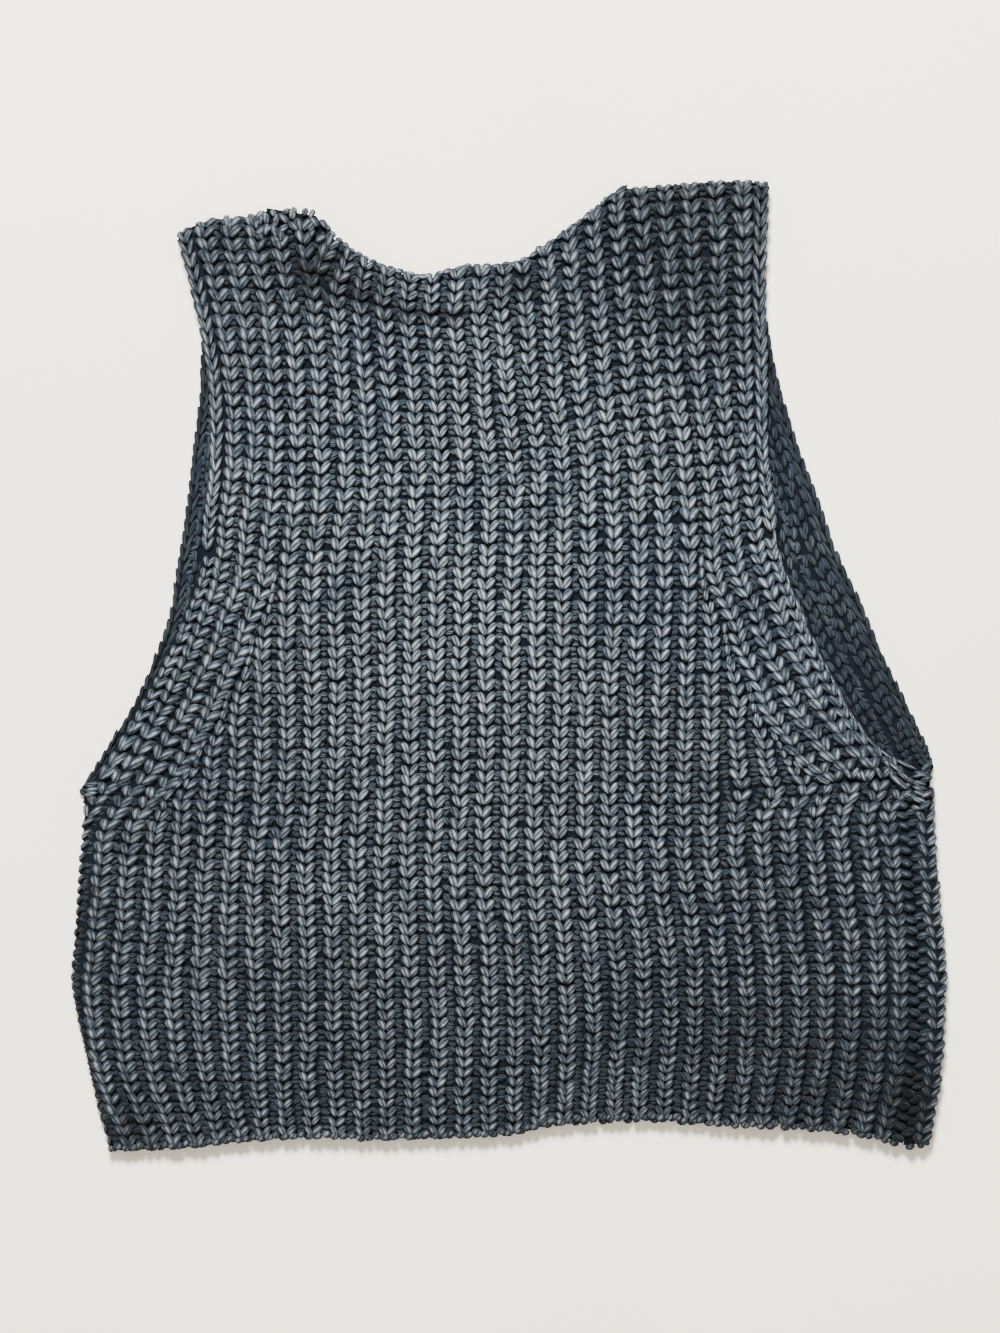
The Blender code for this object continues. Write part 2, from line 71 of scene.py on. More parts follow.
wales = {
    "leftSeam": -17,
    "leftInner": -9,          # outside the inner wales some end beside the armholes
    "rightInner": 8,
    "rightSeam": 16,
    "neckLeft": -9,
    "neckRight": 6,
    "foldsLeft": -6.8,        # outside these the cloth turns over the shoulders
    "foldsRight": 5.1,
    "outer": 8,               # from an inner wale to the side seam
    "selvedge": 0.55,         # width of the chained edge of an armhole
    "selvedgeGrows": 3.0,     # courses over which it reaches that width
}
courses = {
    "underarm": 32.0,
    "seamLeaves": 28.5,       # from here up the side seams move out to the very edge
    "lastSide": 31.9,         # and here they have reached it
    "shoulder": 78.0,         # the tables end here
    "highest": 82.0,          # no wale reaches further
    "decreases": (51.5, 46.0, 41.0, 36.5, 33.5),   # where the outer wales end, from the inmost one
    "narrowing": 5.0,         # a wale that ends grows narrow over so many
    "calm": 56.0,             # above this the rows are spread so that they end at the neck seam
    "hemPitch": 5.4,          # millimetres to the next course, below the tables
    "topPitch": 6.6,          # and above them
}

# The form of the vest, by course from the hem up and by place
leftSeam = {"columns": ("course", "under"), "rows": (   # how far underneath the left side seam lies
    (0, 9), (2, 11), (8, 16.5), (17, 14), (25, 11), (32, 10),
)}
edgeColumns = ("course", "leftX", "leftY", "rightX", "rightY")
sideEdges = {"columns": edgeColumns, "rows": (   # the very edges below the armholes
    (0, -222, -266, 233, -265),
    (5, -230, -236, 239, -233),
    (10, -237, -206, 242, -201),
    (15, -242, -175, 242, -169),
    (20, -240, -145, 240, -137),
    (26, -238, -109, 237, -99),
    (32, -236, -72, 234, -61),
)}
backArmholes = {"columns": edgeColumns, "rows": (   # and those beside them
    (32, -233, -69, 229, -60),
    (36, -219, -47, 204, -44),
    (40, -205, -23, 188, -21),
    (44, -192, 1, 174, 6),
    (48, -180, 26, 161, 34),
    (52, -171, 53, 151, 63),
    (56, -168, 81, 146, 93),
    (60, -165, 109, 143, 122),
    (66, -165, 150, 143, 167),
    (72, -172, 193, 142, 213),
    (78, -183, 235, 144, 260),
)}
frontArmholes = {"columns": edgeColumns, "rows": (
    (32, -237, -70, 235, -57),
    (36, -223, -47, 231, -44),
    (40, -208, -23, 220, -21),
    (44, -197, 1, 207, 6),
    (48, -188, 26, 195, 34),
    (52, -184, 53, 181, 63),
    (56, -179, 81, 171, 93),
    (60, -176, 109, 160, 122),
    (66, -171, 150, 147, 167),
    (72, -171, 193, 141, 213),
    (78, -181, 235, 142, 260),
)}
innerColumns = ("course", "leftX", "leftY", "middleY", "rightX", "rightY")
backInner = {"columns": innerColumns, "rows": (   # the inner wales, and the middle between them
    (0, -128, -261, -257, 106, -251),
    (5, -130, -235, -232, 108, -225),
    (10, -131, -208, -205, 110, -199),
    (15, -132, -180, -177, 109.5, -172),
    (20, -132, -150, -148, 107.5, -144),
    (26, -132, -115, -109, 104, -107),
    (32, -130, -77, -71, 103, -71),
    (40, -129, -29, -21, 104, -24),
    (48, -129, 21, 29, 106, 28),
    (52, -129, 48, 54, 106, 56),
    (60, -123, 104, 105, 103, 116),
    (66, -123, 147, 143, 98, 161),
    (72, -126, 192, 182, 95, 207),
    (78, -133, 235, 221, 92, 255),
)}
frontInner = {"columns": innerColumns, "rows": (
    (0, -116, -261, -257, 134, -251),
    (10, -116, -208, -205, 134, -199),
    (20, -116, -150, -148, 134, -144),
    (32, -118, -77, -71, 134, -71),
    (40, -121, -29, -21, 134, -24),
    (48, -126, 21, 29, 134, 28),
    (52, -129, 48, 54, 131, 56),
    (60, -126, 104, 105, 111, 116),
    (66, -124, 147, 143, 100, 161),
    (72, -126, 192, 182, 95, 207),
    (78, -133, 235, 221, 92, 255),
)}
lineColumns = ("x", "y")
leftFold = {"columns": lineColumns, "rows": (   # where the shoulders fold over
    (-186, 236), (-175, 242), (-164, 246), (-153, 247), (-142, 248), (-133, 251),
    (-120, 254), (-105, 252), (-95, 250),
)}
rightFold = {"columns": lineColumns, "rows": (
    (52, 262), (62, 263), (78, 264), (100, 266), (122, 267), (150, 266),
)}
backNeck = {"columns": lineColumns, "rows": (   # seams of the neckband
    (-133, 251), (-116, 215), (-101, 205), (-75, 198), (-48, 193), (-22, 192),
    (5, 198), (31, 211), (55, 229), (65, 263),
)}
frontNeck = {"columns": lineColumns, "rows": (
    (-133, 251), (-122, 180), (-105, 147), (-76, 131), (-35, 126), (6, 131),
    (38, 150), (54, 185), (65, 263),
)}
bandColumns = ("wale", "x", "y")
backBand = {"columns": bandColumns, "rows": (   # its free edge
    (-9, -103, 246), (-8, -98, 240), (-7, -90, 232), (-6, -82, 226), (-5, -72, 221),
    (-4, -60, 217), (-3, -46, 214), (-2, -34, 217), (-1, -21, 220), (0, -8, 220),
    (1, 5, 222), (2, 17, 228), (3, 29, 237), (4, 41, 246), (5, 49, 252), (6, 54, 256),
)}
frontBand = {"columns": bandColumns, "rows": (
    (-9, -103, 234), (-8, -101, 200), (-7, -92, 174), (-6, -78, 160), (-5, -65, 154),
    (-3, -42, 150), (-1, -20, 151), (1, 0, 158), (2, 12, 165), (3, 24, 176),
    (4, 32, 190), (5, 38, 210), (6, 46, 244),
)}
swellColumns = ("x", "y", "reachX", "reachY", "lift")
swells = (   # the back's soft swells and troughs
    (-150, -160, 60, 75, 1.6),
    (-40, -60, 80, 90, 1.2),
    (0, -190, 16, 95, -1.2),
    (60, -170, 50, 60, 1.5),
    (165, -120, 45, 80, 1.3),
    (200, -225, 26, 34, -1.0),
    (-90, 90, 50, 70, 1.0),
    (70, 110, 45, 70, 1.2),
)
neckSag = (-32, 217, 45, 29, -2.0)   # it sags into the neckline of the front
hemRises = {"columns": lineColumns, "rows": (   # the hem waves up by this much
    (-170, 0), (-150, 1.6), (-120, 2.0), (-95, 1.6), (-80, 0), (0, 0), (20, 4.4), (50, 5.0),
    (85, 3.5), (100, 0.8), (120, 0.5), (150, 3.3), (180, 5.0), (200, 4.0), (222, 0),
)}
hemRiseEnds = 8.0   # the course where the rows are even again

back = {"onTop": True, "inner": backInner, "armholes": backArmholes, "neck": backNeck,
        "band": backBand}
front = {"onTop": False, "inner": frontInner, "armholes": frontArmholes, "neck": frontNeck,
         "band": frontBand}


def mix(a, b, share):
    return a + (b - a) * share


def ease(t):
    t = np.clip(t, 0.0, 1.0)
    return t * t * (3 - 2 * t)


def lookUp(table, column, key):   # a smooth curve through one column of a table
    rows = np.array(table["rows"], dtype=float)
    keys, values = rows[:, 0], rows[:, table["columns"].index(column)]
    last = len(keys) - 1
    low = np.maximum(np.arange(last + 1) - 1, 0)
    high = np.minimum(np.arange(last + 1) + 1, last)
    slopes = (values[high] - values[low]) / (keys[high] - keys[low])
    key = np.clip(key, keys[0], keys[-1])
    i = np.clip(np.searchsorted(keys, key, side="right") - 1, 0, last - 1)
    step = keys[i + 1] - keys[i]
    t = (key - keys[i]) / step
    bend = (t ** 3 - 2 * t ** 2 + t) * slopes[i] + (t ** 3 - t ** 2) * slopes[i + 1]
    return mix(values[i], values[i + 1], ease(t)) + bend * step


def foldY(x):
    return np.where(x < 0, lookUp(leftFold, "y", x), lookUp(rightFold, "y", x))


def swell(x, y, row):
    spot = dict(zip(swellColumns, row))
    across = (x - spot["x"]) / spot["reachX"]
    along = (y - spot["y"]) / spot["reachY"]
    return spot["lift"] * np.exp(-across ** 2 - along ** 2)


def backLift(x, y):
    calm = ease((foldY(x) - y) / cloth["calmEdge"])
    calm = calm * ease((cloth["widest"] - np.abs(x)) / cloth["calmEdge"])
    lift = sum(swell(x, y, row) for row in swells)
    return np.maximum(lift, 0.0) * calm + swell(x, y, neckSag)


def parting(inside):   # 1 where the layers meet a turn, 0 where they lie on each other
    return 1 - ease(inside / cloth["turnRise"])


def turnReach(angle, out):   # ribs flatten on the part of a turn that lies on the sheet
    if out == 0:
        return cloth["turnInner"]
    flat = ease((cloth["flattenFrom"] - np.degrees(angle)) / cloth["flattenOver"])
    return cloth["turnInner"] + mix(out, turnBottom, flat)


def outerShare(distance, course):   # how far towards the edge a wale outside the middle lies
    widths = [ease((stop - course) / courses["narrowing"]) for stop in courses["decreases"]]
    widths += [np.ones_like(course)] * (wales["outer"] - len(widths))
    grown = ease((course - courses["underarm"] + 1) / wales["selvedgeGrows"])
    grown = np.where(course > courses["underarm"], grown, 0.0)
    reached = np.zeros_like(course)
    for k, width in enumerate(widths):
        reached = reached + width * np.clip(distance - k, 0.0, 1.0)
    reached = reached + wales["selvedge"] * grown * np.clip(distance - wales["outer"], 0.0, 1.0)
    return reached / (sum(widths) + wales["selvedge"] * grown)


def seamTurns(panel, course):   # how far round the side turns the seams lie
    rise = ease((course - courses["seamLeaves"]) / (courses["lastSide"] - courses["seamLeaves"]))
    left = mix(turnLength + lookUp(leftSeam, "under", course) - turnOuter, turnLength / 2, rise)
    right = mix(turnOuter - cloth["rightSeamOver"], turnLength / 2, rise)
    if not panel["onTop"]:
        left, right = turnLength - left, turnLength - right
    return left - cloth["seamGap"] / 2, right - cloth["seamGap"] / 2


def edgeOf(panel, name, course):
    low, high = lookUp(sideEdges, name, course), lookUp(panel["armholes"], name, course)
    return np.where(course < courses["underarm"], low, high)


def placeOn(panel, wale, course):   # sideways distance along the cloth, and y
    low = course < courses["underarm"]
    leftTurn, rightTurn = seamTurns(panel, course)
    leftX = edgeOf(panel, "leftX", course) + np.where(low, turnOuter - leftTurn, 0.0)
    rightX = edgeOf(panel, "rightX", course) + np.where(low, rightTurn - turnOuter, 0.0)
    leftY, rightY = edgeOf(panel, "leftY", course), edgeOf(panel, "rightY", course)
    inner = {name: lookUp(panel["inner"], name, course) for name in innerColumns[1:]}
    leftShare = outerShare(np.maximum(wales["leftInner"] - wale, 0.0), course)
    rightShare = outerShare(np.maximum(wale - wales["rightInner"], 0.0), course)
    between = (wale - wales["leftInner"]) / (wales["rightInner"] - wales["leftInner"])
    x = mix(inner["leftX"], inner["rightX"], np.clip(between, 0.0, 1.0))
    x = x + leftShare * (leftX - inner["leftX"]) + rightShare * (rightX - inner["rightX"])
    outLeft = ease(np.clip(wale / wales["leftInner"], 0.0, 1.0))
    outRight = ease(np.clip(wale / wales["rightInner"], 0.0, 1.0))
    y = inner["middleY"] + outLeft * (inner["leftY"] - inner["middleY"])
    y = y + outRight * (inner["rightY"] - inner["middleY"])
    y = y + leftShare * (leftY - inner["leftY"]) + rightShare * (rightY - inner["rightY"])
    y = y + lookUp(hemRises, "y", x) * (1 - ease(course / hemRiseEnds))
    y = y + np.minimum(course, 0.0) * courses["hemPitch"]
    return x, y + np.maximum(course - courses["shoulder"], 0.0) * courses["topPitch"]


def flatPoint(panel, x, y, near, out):
    if panel["onTop"]:
        return x, y, mix(cloth["backUnder"] + backLift(x, y), turnTop, near) + out
    if out == 0:
        return x, y, mix(cloth["frontTop"], turnBottom, near)
    return x, y, np.zeros_like(x)


def choose(test, first, second):
    return tuple(np.where(test, a, b) for a, b in zip(first, second))


def turnedPoint(panel, start, sign, beyond, out, length):   # round a turn, from the flat part
    angle = math.pi / 2 - math.pi * beyond / length
    if not panel["onTop"]:
        angle = -angle
    reach = turnReach(angle, out)
    z = np.maximum(cloth["turnMiddle"] + reach * np.sin(angle), 0.0)
    return start + sign * reach * np.cos(angle), z


def facePoint(panel, wale, course, out):   # a point of the inner face (0) or the outer one
    along, y = placeOn(panel, wale, course)
    other = front if panel["onTop"] else back
    left = edgeOf(panel, "leftX", course) + turnOuter
    right = edgeOf(panel, "rightX", course) - turnOuter
    near = parting(np.minimum(along - left, right - along))
    lying = flatPoint(panel, along, y, near, out)
    onLeft = along < left
    start, sign = np.where(onLeft, left, right), np.where(onLeft, -1.0, 1.0)
    beyond = (along - start) * sign
    turnedX, turnedZ = turnedPoint(panel, start, sign, beyond, out, turnLength)
    inside = beyond - turnLength
    across = flatPoint(other, start - sign * inside, y, parting(inside), out)
    sides = choose(beyond <= turnLength, (turnedX, y, turnedZ), across)
    sides = choose(beyond < 0, lying, sides)

    onShoulder = (wale <= wales["foldsLeft"]) | (wale >= wales["foldsRight"])
    shoulderY = foldY(along) - turnOuter
    near = np.where(onShoulder, parting(shoulderY - y), 0.0)
    lying = flatPoint(panel, along, y, near, out)
    over = np.minimum(y - shoulderY, turnOuter * math.pi / 2)
    turnedY, turnedZ = turnedPoint(panel, shoulderY, 1.0, over, out, turnOuter * math.pi)
    free = choose(onShoulder & (over > 0), (along, turnedY, turnedZ), lying)
    return np.stack(choose(course < courses["underarm"], sides, free), axis=-1)


def clothPoint(panel, wale, course, height):   # any point in the cloth, and which way is out
    wale, course, height = np.broadcast_arrays(wale, course, height)
    wale, course = wale.astype(float), course.astype(float)
    inner = facePoint(panel, wale, course, 0)
    outer = facePoint(panel, wale, course, cloth["full"])
    out = outer - inner
    point = inner + out * (height / cloth["full"])[..., None]
    return point, out / np.linalg.norm(out, axis=-1, keepdims=True)


def topCourse(panel, wale):   # where a wale meets the neck seam, or its shoulder's middle
    wale = np.asarray(wale, dtype=float)
    low = np.full(wale.shape, courses["decreases"][0])
    high = np.full(wale.shape, courses["highest"])
    shoulder = (wale <= wales["neckLeft"]) | (wale >= wales["neckRight"])
    for _ in range(30):   # halved until the course is found
        middle = (low + high) / 2
        x, y = placeOn(panel, wale, middle)
        stop = np.where(shoulder, foldY(x) - turnOuter, lookUp(panel["neck"], "y", x))
        low, high = np.where(y < stop, middle, low), np.where(y < stop, high, middle)
    return low


band = {"courses": 4.0, "start": 0.9}   # it starts this far past the neck seam


def bandPoint(panel, wale, share, height):   # on the neckband, from its seam to its free edge
    wale, share, height = np.broadcast_arrays(wale, share, height)
    wale = wale.astype(float)
    x, y = placeOn(panel, wale, topCourse(panel, wale))
    endX = lookUp(panel["band"], "x", wale)
    endY = lookUp(panel["band"], "y", wale)
    x, y = mix(x, endX, share), mix(y + band["start"], endY, share)
    near = parting(foldY(x) - turnOuter - y)
    inner = np.stack(flatPoint(panel, x, y, near, 0), axis=-1)
    outer = np.stack(flatPoint(panel, x, y, near, cloth["full"]), axis=-1)
    out = outer - inner
    point = inner + out * (height / cloth["full"])[..., None]
    return point, out / np.linalg.norm(out, axis=-1, keepdims=True)


def toMetres(points):
    centre = np.array((cloth["centre"][0], cloth["centre"][1], 0.0))
    return (points - centre) * mm


drifts = {"waves": 5, "turns": 0.035, "height": 0.4}   # turns are radians to the millimetre


def drift(x, y, seed):   # slow uneven change over the cloth, between about -1 and 1
    rng = np.random.default_rng(seed)
    total = 0.0
    for _ in range(drifts["waves"]):
        waveX, waveY = rng.normal(0, drifts["turns"], 2)
        total = total + np.sin(waveX * x + waveY * y + rng.uniform(0, 6.28))
    return total * drifts["height"]


def linkPiece(name, mesh, material, node):
    piece = bpy.data.objects.new(name, mesh)
    bpy.context.scene.collection.objects.link(piece)
    mesh.materials.append(material)
    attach(piece, "root")
    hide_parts(node)
    return piece


def meshFrom(name, points, triangles):
    mesh = bpy.data.meshes.new(name)
    mesh.vertices.add(len(points))
    mesh.vertices.foreach_set("co", points.astype(np.float32).ravel())
    mesh.loops.add(triangles.size)
    mesh.loops.foreach_set("vertex_index", triangles.astype(np.int32).ravel())
    mesh.polygons.add(len(triangles))
    mesh.polygons.foreach_set("loop_start", np.arange(0, triangles.size, 3, dtype=np.int32))
    mesh.update(calc_edges=True)
    mesh.shade_smooth()
    return mesh


def addMap(mesh, name, corners):
    layer = mesh.uv_layers.new(name=name)
    layer.data.foreach_set("uv", corners.astype(np.float32).ravel())


def addValue(mesh, name, values):
    layer = mesh.attributes.new(name, "FLOAT", "POINT")
    layer.data.foreach_set("value", values.astype(np.float32).ravel())


def strandTriangles(rings, sides):   # one closed strand: its triangles and their strand map
    triangles, corners = [], []
    for r in range(rings - 1):
        low, high = (r + 0.5) / rings, (r + 1.5) / rings
        for k in range(sides):
            a, b = r * sides + k, r * sides + (k + 1) % sides
            c, d = b + sides, a + sides
            u, v = k / sides, (k + 1) / sides
            triangles += [(a, b, c), (a, c, d)]
            corners += [((u, low), (v, low), (v, high)), ((u, low), (v, high), (u, high))]
    start, end = rings * sides, rings * sides + 1
    last = (rings - 1) * sides
    for k in range(sides):
        u, v = k / sides, (k + 1) / sides
        after = (k + 1) % sides
        triangles += [(start, after, k), (end, last + k, last + after)]
        middle = (u + v) / 2
        corners += [((middle, 0.0), (v, 0.5 / rings), (u, 0.5 / rings)),
                    ((middle, 1.0), (u, 1 - 0.5 / rings), (v, 1 - 0.5 / rings))]
    return np.array(triangles), np.array(corners)


strandForm = {
    "tip": 0.4,          # how far its rounded ends reach, to half its width
    "tileEdge": 0.08,    # bare edge of its tile in the map for baking
    "wornAndLitFrom": 0.10,    # the wash rubs its middle most and its ends least; the dark ends are also painted shade where strands meet
    "wornAndLitOver": 0.85,
    "wornAndLitEven": 0.6,
    "tipWornAndLit": 0.1,
}


def strandMesh(name, batches, sides=6):
    points, triangles, strandMap, tiles = [], [], [], []
    values = {"tone": [], "chalkAndLight": [], "green": [], "paleAndShade": []}
    count = sum(len(batch["path"]) for batch in batches)
    grid = math.ceil(math.sqrt(count))
    done, base = 0, 0
    for batch in batches:
        path, up = batch["path"], batch["up"]
        strands, rings = path.shape[:2]
        along = np.gradient(path, axis=1)
        along /= np.linalg.norm(along, axis=-1, keepdims=True) + 1e-9
        side = np.cross(along, up)
        side /= np.linalg.norm(side, axis=-1, keepdims=True) + 1e-9
        out = np.cross(side, along)
        turn = 2 * math.pi * np.arange(sides) / sides
        wide = batch["wide"][:, :, None, None] * np.cos(turn)[None, None, :, None]
        thick = batch["thick"][:, :, None, None] * np.sin(turn)[None, None, :, None]
        tube = path[:, :, None] + side[:, :, None] * wide + out[:, :, None] * thick
        tips = np.stack((path[:, 0] - along[:, 0] * batch["wide"][:, :1] * strandForm["tip"],
                         path[:, -1] + along[:, -1] * batch["wide"][:, -1:] * strandForm["tip"]), axis=1)
        both = np.concatenate((tube.reshape(strands, -1, 3), tips), axis=1)
        each, corners = strandTriangles(rings, sides)
        size = both.shape[1]
        points.append(both.reshape(-1, 3))
        start = base + size * np.arange(strands)
        triangles.append((each[None] + start[:, None, None]).reshape(-1, 3))
        strandMap.append(np.broadcast_to(corners, (strands,) + corners.shape).reshape(-1, 2))
        cell = done + np.arange(strands)
        corner = np.stack((cell % grid, cell // grid), axis=-1)[:, None, None, :]
        filled = strandForm["tileEdge"] + corners[None] * (1 - 2 * strandForm["tileEdge"])
        tiles.append(((corner + filled) / grid).reshape(-1, 2))
        # How far each point is rubbed chalky and lit: the side out of the cloth or facing up is lighter,
        # and the flanks, under side and ends are darker. This is the wash, and painted light and shade,
        # together
        faces = side[..., None, 2] * np.cos(turn) + out[..., None, 2] * np.sin(turn)
        raised = 0.5 + 0.5 * np.maximum(np.sin(turn), faces)   # out of the cloth, or facing up: rubbed chalk and painted light there, painted shade on the under side
        share = (np.arange(rings) + 0.5) / rings * strandForm["wornAndLitOver"] + strandForm["wornAndLitFrom"]
        middle = np.sin(math.pi * np.clip(share, 0, 1)) ** strandForm["wornAndLitEven"]
        chalkAndLight = (raised * middle[None, :, None]).reshape(strands, -1) * batch["wornAndLit"]
        chalkAndLight = np.concatenate((chalkAndLight, np.full((strands, 2), strandForm["tipWornAndLit"])), axis=1)
        values["chalkAndLight"].append(chalkAndLight.ravel())
        values["tone"].append(np.repeat(batch["tone"], size))
        values["green"].append(np.repeat(greenAt(path[:, rings // 2]), size))
        values["paleAndShade"].append(np.repeat(paleAndShadeAt(path[:, rings // 2]), size))
        done += strands
        base += strands * size
    points = np.concatenate(points)
    points[:, 2] = np.maximum(points[:, 2], 0.0)   # pressed flat where they rest
    mesh = meshFrom(name, toMetres(points), np.concatenate(triangles))
    addMap(mesh, "OFBake", np.concatenate(tiles))
    addMap(mesh, "strand", np.concatenate(strandMap))
    for key, parts in values.items():
        addValue(mesh, key, np.concatenate(parts))
    return mesh


# How green the washed dye is, and how light the yarn is drawn: lightest over the middle and
# darker away from it, most at the right of the hem and on the right shoulder, with painted shadow
# of the fold along the lower edge of the neckband. The rows are as for swells.
washAndShade = {
    "green": ((-30, -20, 150, 190, 0.8), (-60, -150, 90, 80, 0.3), (60, 150, 110, 70, 0.2)),
    "greenUneven": 0.2,
    "paleAndShade": (
        (-15, 75, 180, 150, 0.60), (-140, 20, 60, 80, -0.10), (150, 20, 40, 80, 0.12),
        (-20, -120, 120, 60, 0.17), (170, -230, 90, 60, -0.24), (110, 225, 70, 60, -0.28),
        # painted shadow of the fold under the neckband: the next five rows, up to (4, 205)
        (-107, 217, 16, 15, -0.50), (-80, 203, 15, 9, -0.50), (-58, 193, 15, 7, -0.45),
        (-34, 191, 17, 6, -0.45), (4, 205, 13, 10, -0.45), (-150, 215, 50, 45, -0.10),
        (-209, -255, 12, 15, -0.3), (222, -248, 12, 24, -0.25),
    ),
    "paleAtLeast": 0.48,
    "paleUneven": 0.05,
}


def greenAt(points):
    x, y = points[..., 0], points[..., 1]
    green = sum(swell(x, y, row) for row in washAndShade["green"])
    return np.clip(green + washAndShade["greenUneven"] * drift(x, y, 5), 0.0, 1.0)


def paleAndShadeAt(points):
    x, y = points[..., 0], points[..., 1]
    paleAndShade = washAndShade["paleAtLeast"] + sum(swell(x, y, row) for row in washAndShade["paleAndShade"])
    return paleAndShade + washAndShade["paleUneven"] * drift(x, y, 8)


# One V of the knit: the shape of its leg from the point at the bottom to the rounded top
leg = {"columns": ("across", "along", "height", "wide", "thick"), "rows": (
    (0.030, -0.64, 2.20, 0.34, 0.38),
    (0.070, -0.48, 2.95, 0.74, 0.76),
    (0.135, -0.24, 3.45, 1.00, 1.00),
    (0.200, 0.01, 3.55, 1.06, 1.02),
    (0.262, 0.22, 3.25, 0.96, 0.92),
    (0.302, 0.35, 2.70, 0.62, 0.62),
)}
stitches = {
    "halfWide": 2.18,         # half the width of a leg at its widest, on a wale of usual width
    "halfThick": 1.50,
    "usualPitch": 13.75,      # from one wale to the next
    "usualRise": 6.3,         # from one course to the next
    "pitches": (4.5, 14.8),   # a stitch keeps between these, where the wales are crowded or wide
    "rises": (5.0, 9.4),      # and between these, where the courses are
    "leastRise": 1.5,
    "byPitch": 0.75,          # how far its strand grows with its pitch
    "byRise": 0.5,            # and with its rise
    "bySpread": 0.6,
    "leftSpread": 1.00,       # the right leg is more slanted than the left one
    "rightSpread": 1.08,
    "skewLeft": 0.16,         # each side of the vest slants the leg that faces the middle
    "skewRight": -0.28,
    "edgeFrom": 13,           # above the underarms the wales outside these are spread wider
    "edgeSpread": 1.08,
    "mostLean": 24.0,         # degrees that a stitch leans in its own course
    "leastPitch": 5.2,        # a wale narrower than this is swallowed by its neighbours
    "uneven": 0.025,          # how far a stitch strays, in wales
    "unevenUp": 1.5,          # and so many times as far along its wale
    "unevenLeg": 0.03,        # how far its legs differ, in courses
    "unevenHeight": 0.25,
    "unevenSize": 0.07,
    "unevenSpread": 0.06,
    "unevenTone": 0.13,
    "sway": 0.05,             # how far a whole rib wanders, in wales
    "overShoulder": 1.9,      # courses that go on past the fold of a shoulder
    "shortRow": 0.35,         # how much a last row may lack of its height
    "seed": 7,
}


def strayTone(rng, tone, uneven, count):   # half is the usual tone of a strand
    return np.clip(rng.normal(0.5 + tone, uneven, count), 0, 1)


armholeBand = {
    "left": -13.6,     # the band is outside these wales
    "right": 12.6,
    "wide": 3.6,
    "climb": 1.7,      # courses that it climbs towards its edge
    "grows": 5,        # courses over which the climb starts above the underarm
    "top": 60,
    "fades": 14,       # and those over which it ends
}


def bandClimb(wale, course):   # the bands beside the armholes climb outwards
    share = ease((armholeBand["left"] - wale) / armholeBand["wide"])
    share = share + ease((wale - armholeBand["right"]) / armholeBand["wide"])
    window = ease((course - courses["underarm"]) / armholeBand["grows"])
    window = window * ease((armholeBand["top"] - course) / armholeBand["fades"])
    return armholeBand["climb"] * share * window


# How the stitches flatten on the sheet, and how high the inner ones lie
pressed = {"least": 0.6, "share": 0.62, "under": 0.2, "underFrom": -15, "inside": 4.7,
           "neckInside": 3.6, "neckShare": 0.75}


def layBack(wale, course, height):
    under = ease(pressed["underFrom"] - wale) * (course < courses["underarm"])
    height = height * (1 - pressed["under"] * under)
    return clothPoint(back, wale, course + bandClimb(wale, course), height)


def layFront(wale, course, height):
    return clothPoint(front, wale, course, pressed["least"] + height * pressed["share"])


def layFrontOver(wale, course, height):   # the wales that turn up over the right side
    return clothPoint(front, wale, course, height)


def layInside(wale, course, height):   # inside of the front, in the armholes
    point, out = clothPoint(front, wale, course, pressed["inside"] - height)
    return point, -out


def layBackInside(wale, course, height):   # inside of the back, in the front neckline
    height = pressed["neckInside"] - height * pressed["neckShare"]
    point, out = clothPoint(back, wale, course, height)
    return point, -out


def layBand(wale, course, height):
    return bandPoint(back, wale, course / band["courses"], height)


def layFrontBand(wale, course, height):
    height = pressed["least"] + height * pressed["share"]
    return bandPoint(front, wale, course / band["courses"], height)


rowEdge = {"gap": 0.05, "step": 0.5}   # courses: from the underarms, and to measure a slope over


def layRow(lay, wale, course, height, row):   # a row keeps to its own side of the underarms
    if lay not in (layBack, layFront, layFrontOver, layInside):
        return lay(wale, course, height)
    below = row < courses["underarm"]
    lowest, highest = courses["underarm"] + rowEdge["gap"], courses["underarm"] - rowEdge["gap"]
    inside = np.where(below, np.minimum(course, highest), np.maximum(course, lowest))
    step = np.where(below, -rowEdge["step"], rowEdge["step"])
    point, out = lay(wale, inside, height)
    further = lay(wale, inside + step, height)[0]
    return point + (further - point) * ((course - inside) / step)[..., None], out


def stitchFrames(lay, wale, course):   # directions across and along a stitch, in wales and courses
    high = np.full_like(wale, cloth["wall"])
    across = lay(wale + 0.5, course, high)[0] - lay(wale - 0.5, course, high)[0]
    along = layRow(lay, wale, course + 0.5, high, course)[0]
    along = along - layRow(lay, wale, course - 0.5, high, course)[0]
    out = lay(wale, course, high)[1]
    pitch = np.linalg.norm(across, axis=-1)
    right = across / pitch[:, None]
    upward = np.cross(out, right)
    upward *= np.sign(np.sum(upward * along, axis=-1))[:, None]
    sideways, rise = np.sum(along * right, axis=-1), np.sum(along * upward, axis=-1)
    rise = np.maximum(rise, stitches["leastRise"])
    most = math.tan(math.radians(stitches["mostLean"]))
    wantedRise = np.clip(rise, *stitches["rises"])
    wantedSide = np.clip(sideways / rise, -most, most) * wantedRise
    wantedPitch = np.clip(pitch, *stitches["pitches"])
    alongCourse = wantedRise / rise
    alongWale = (wantedSide - sideways * alongCourse) / pitch
    return {"pitch": wantedPitch, "rise": wantedRise, "acrossWale": wantedPitch / pitch,
            "alongWale": alongWale, "alongCourse": alongCourse, "shows": pitch > stitches["leastPitch"]}


def lastCourse(k):   # a wale that ends beside an armhole stops here
    outwards = wales["leftInner"] - 1 - k if k < 0 else k - wales["rightInner"]
    if 0 <= outwards < len(courses["decreases"]):
        return courses["decreases"][outwards]
    return None


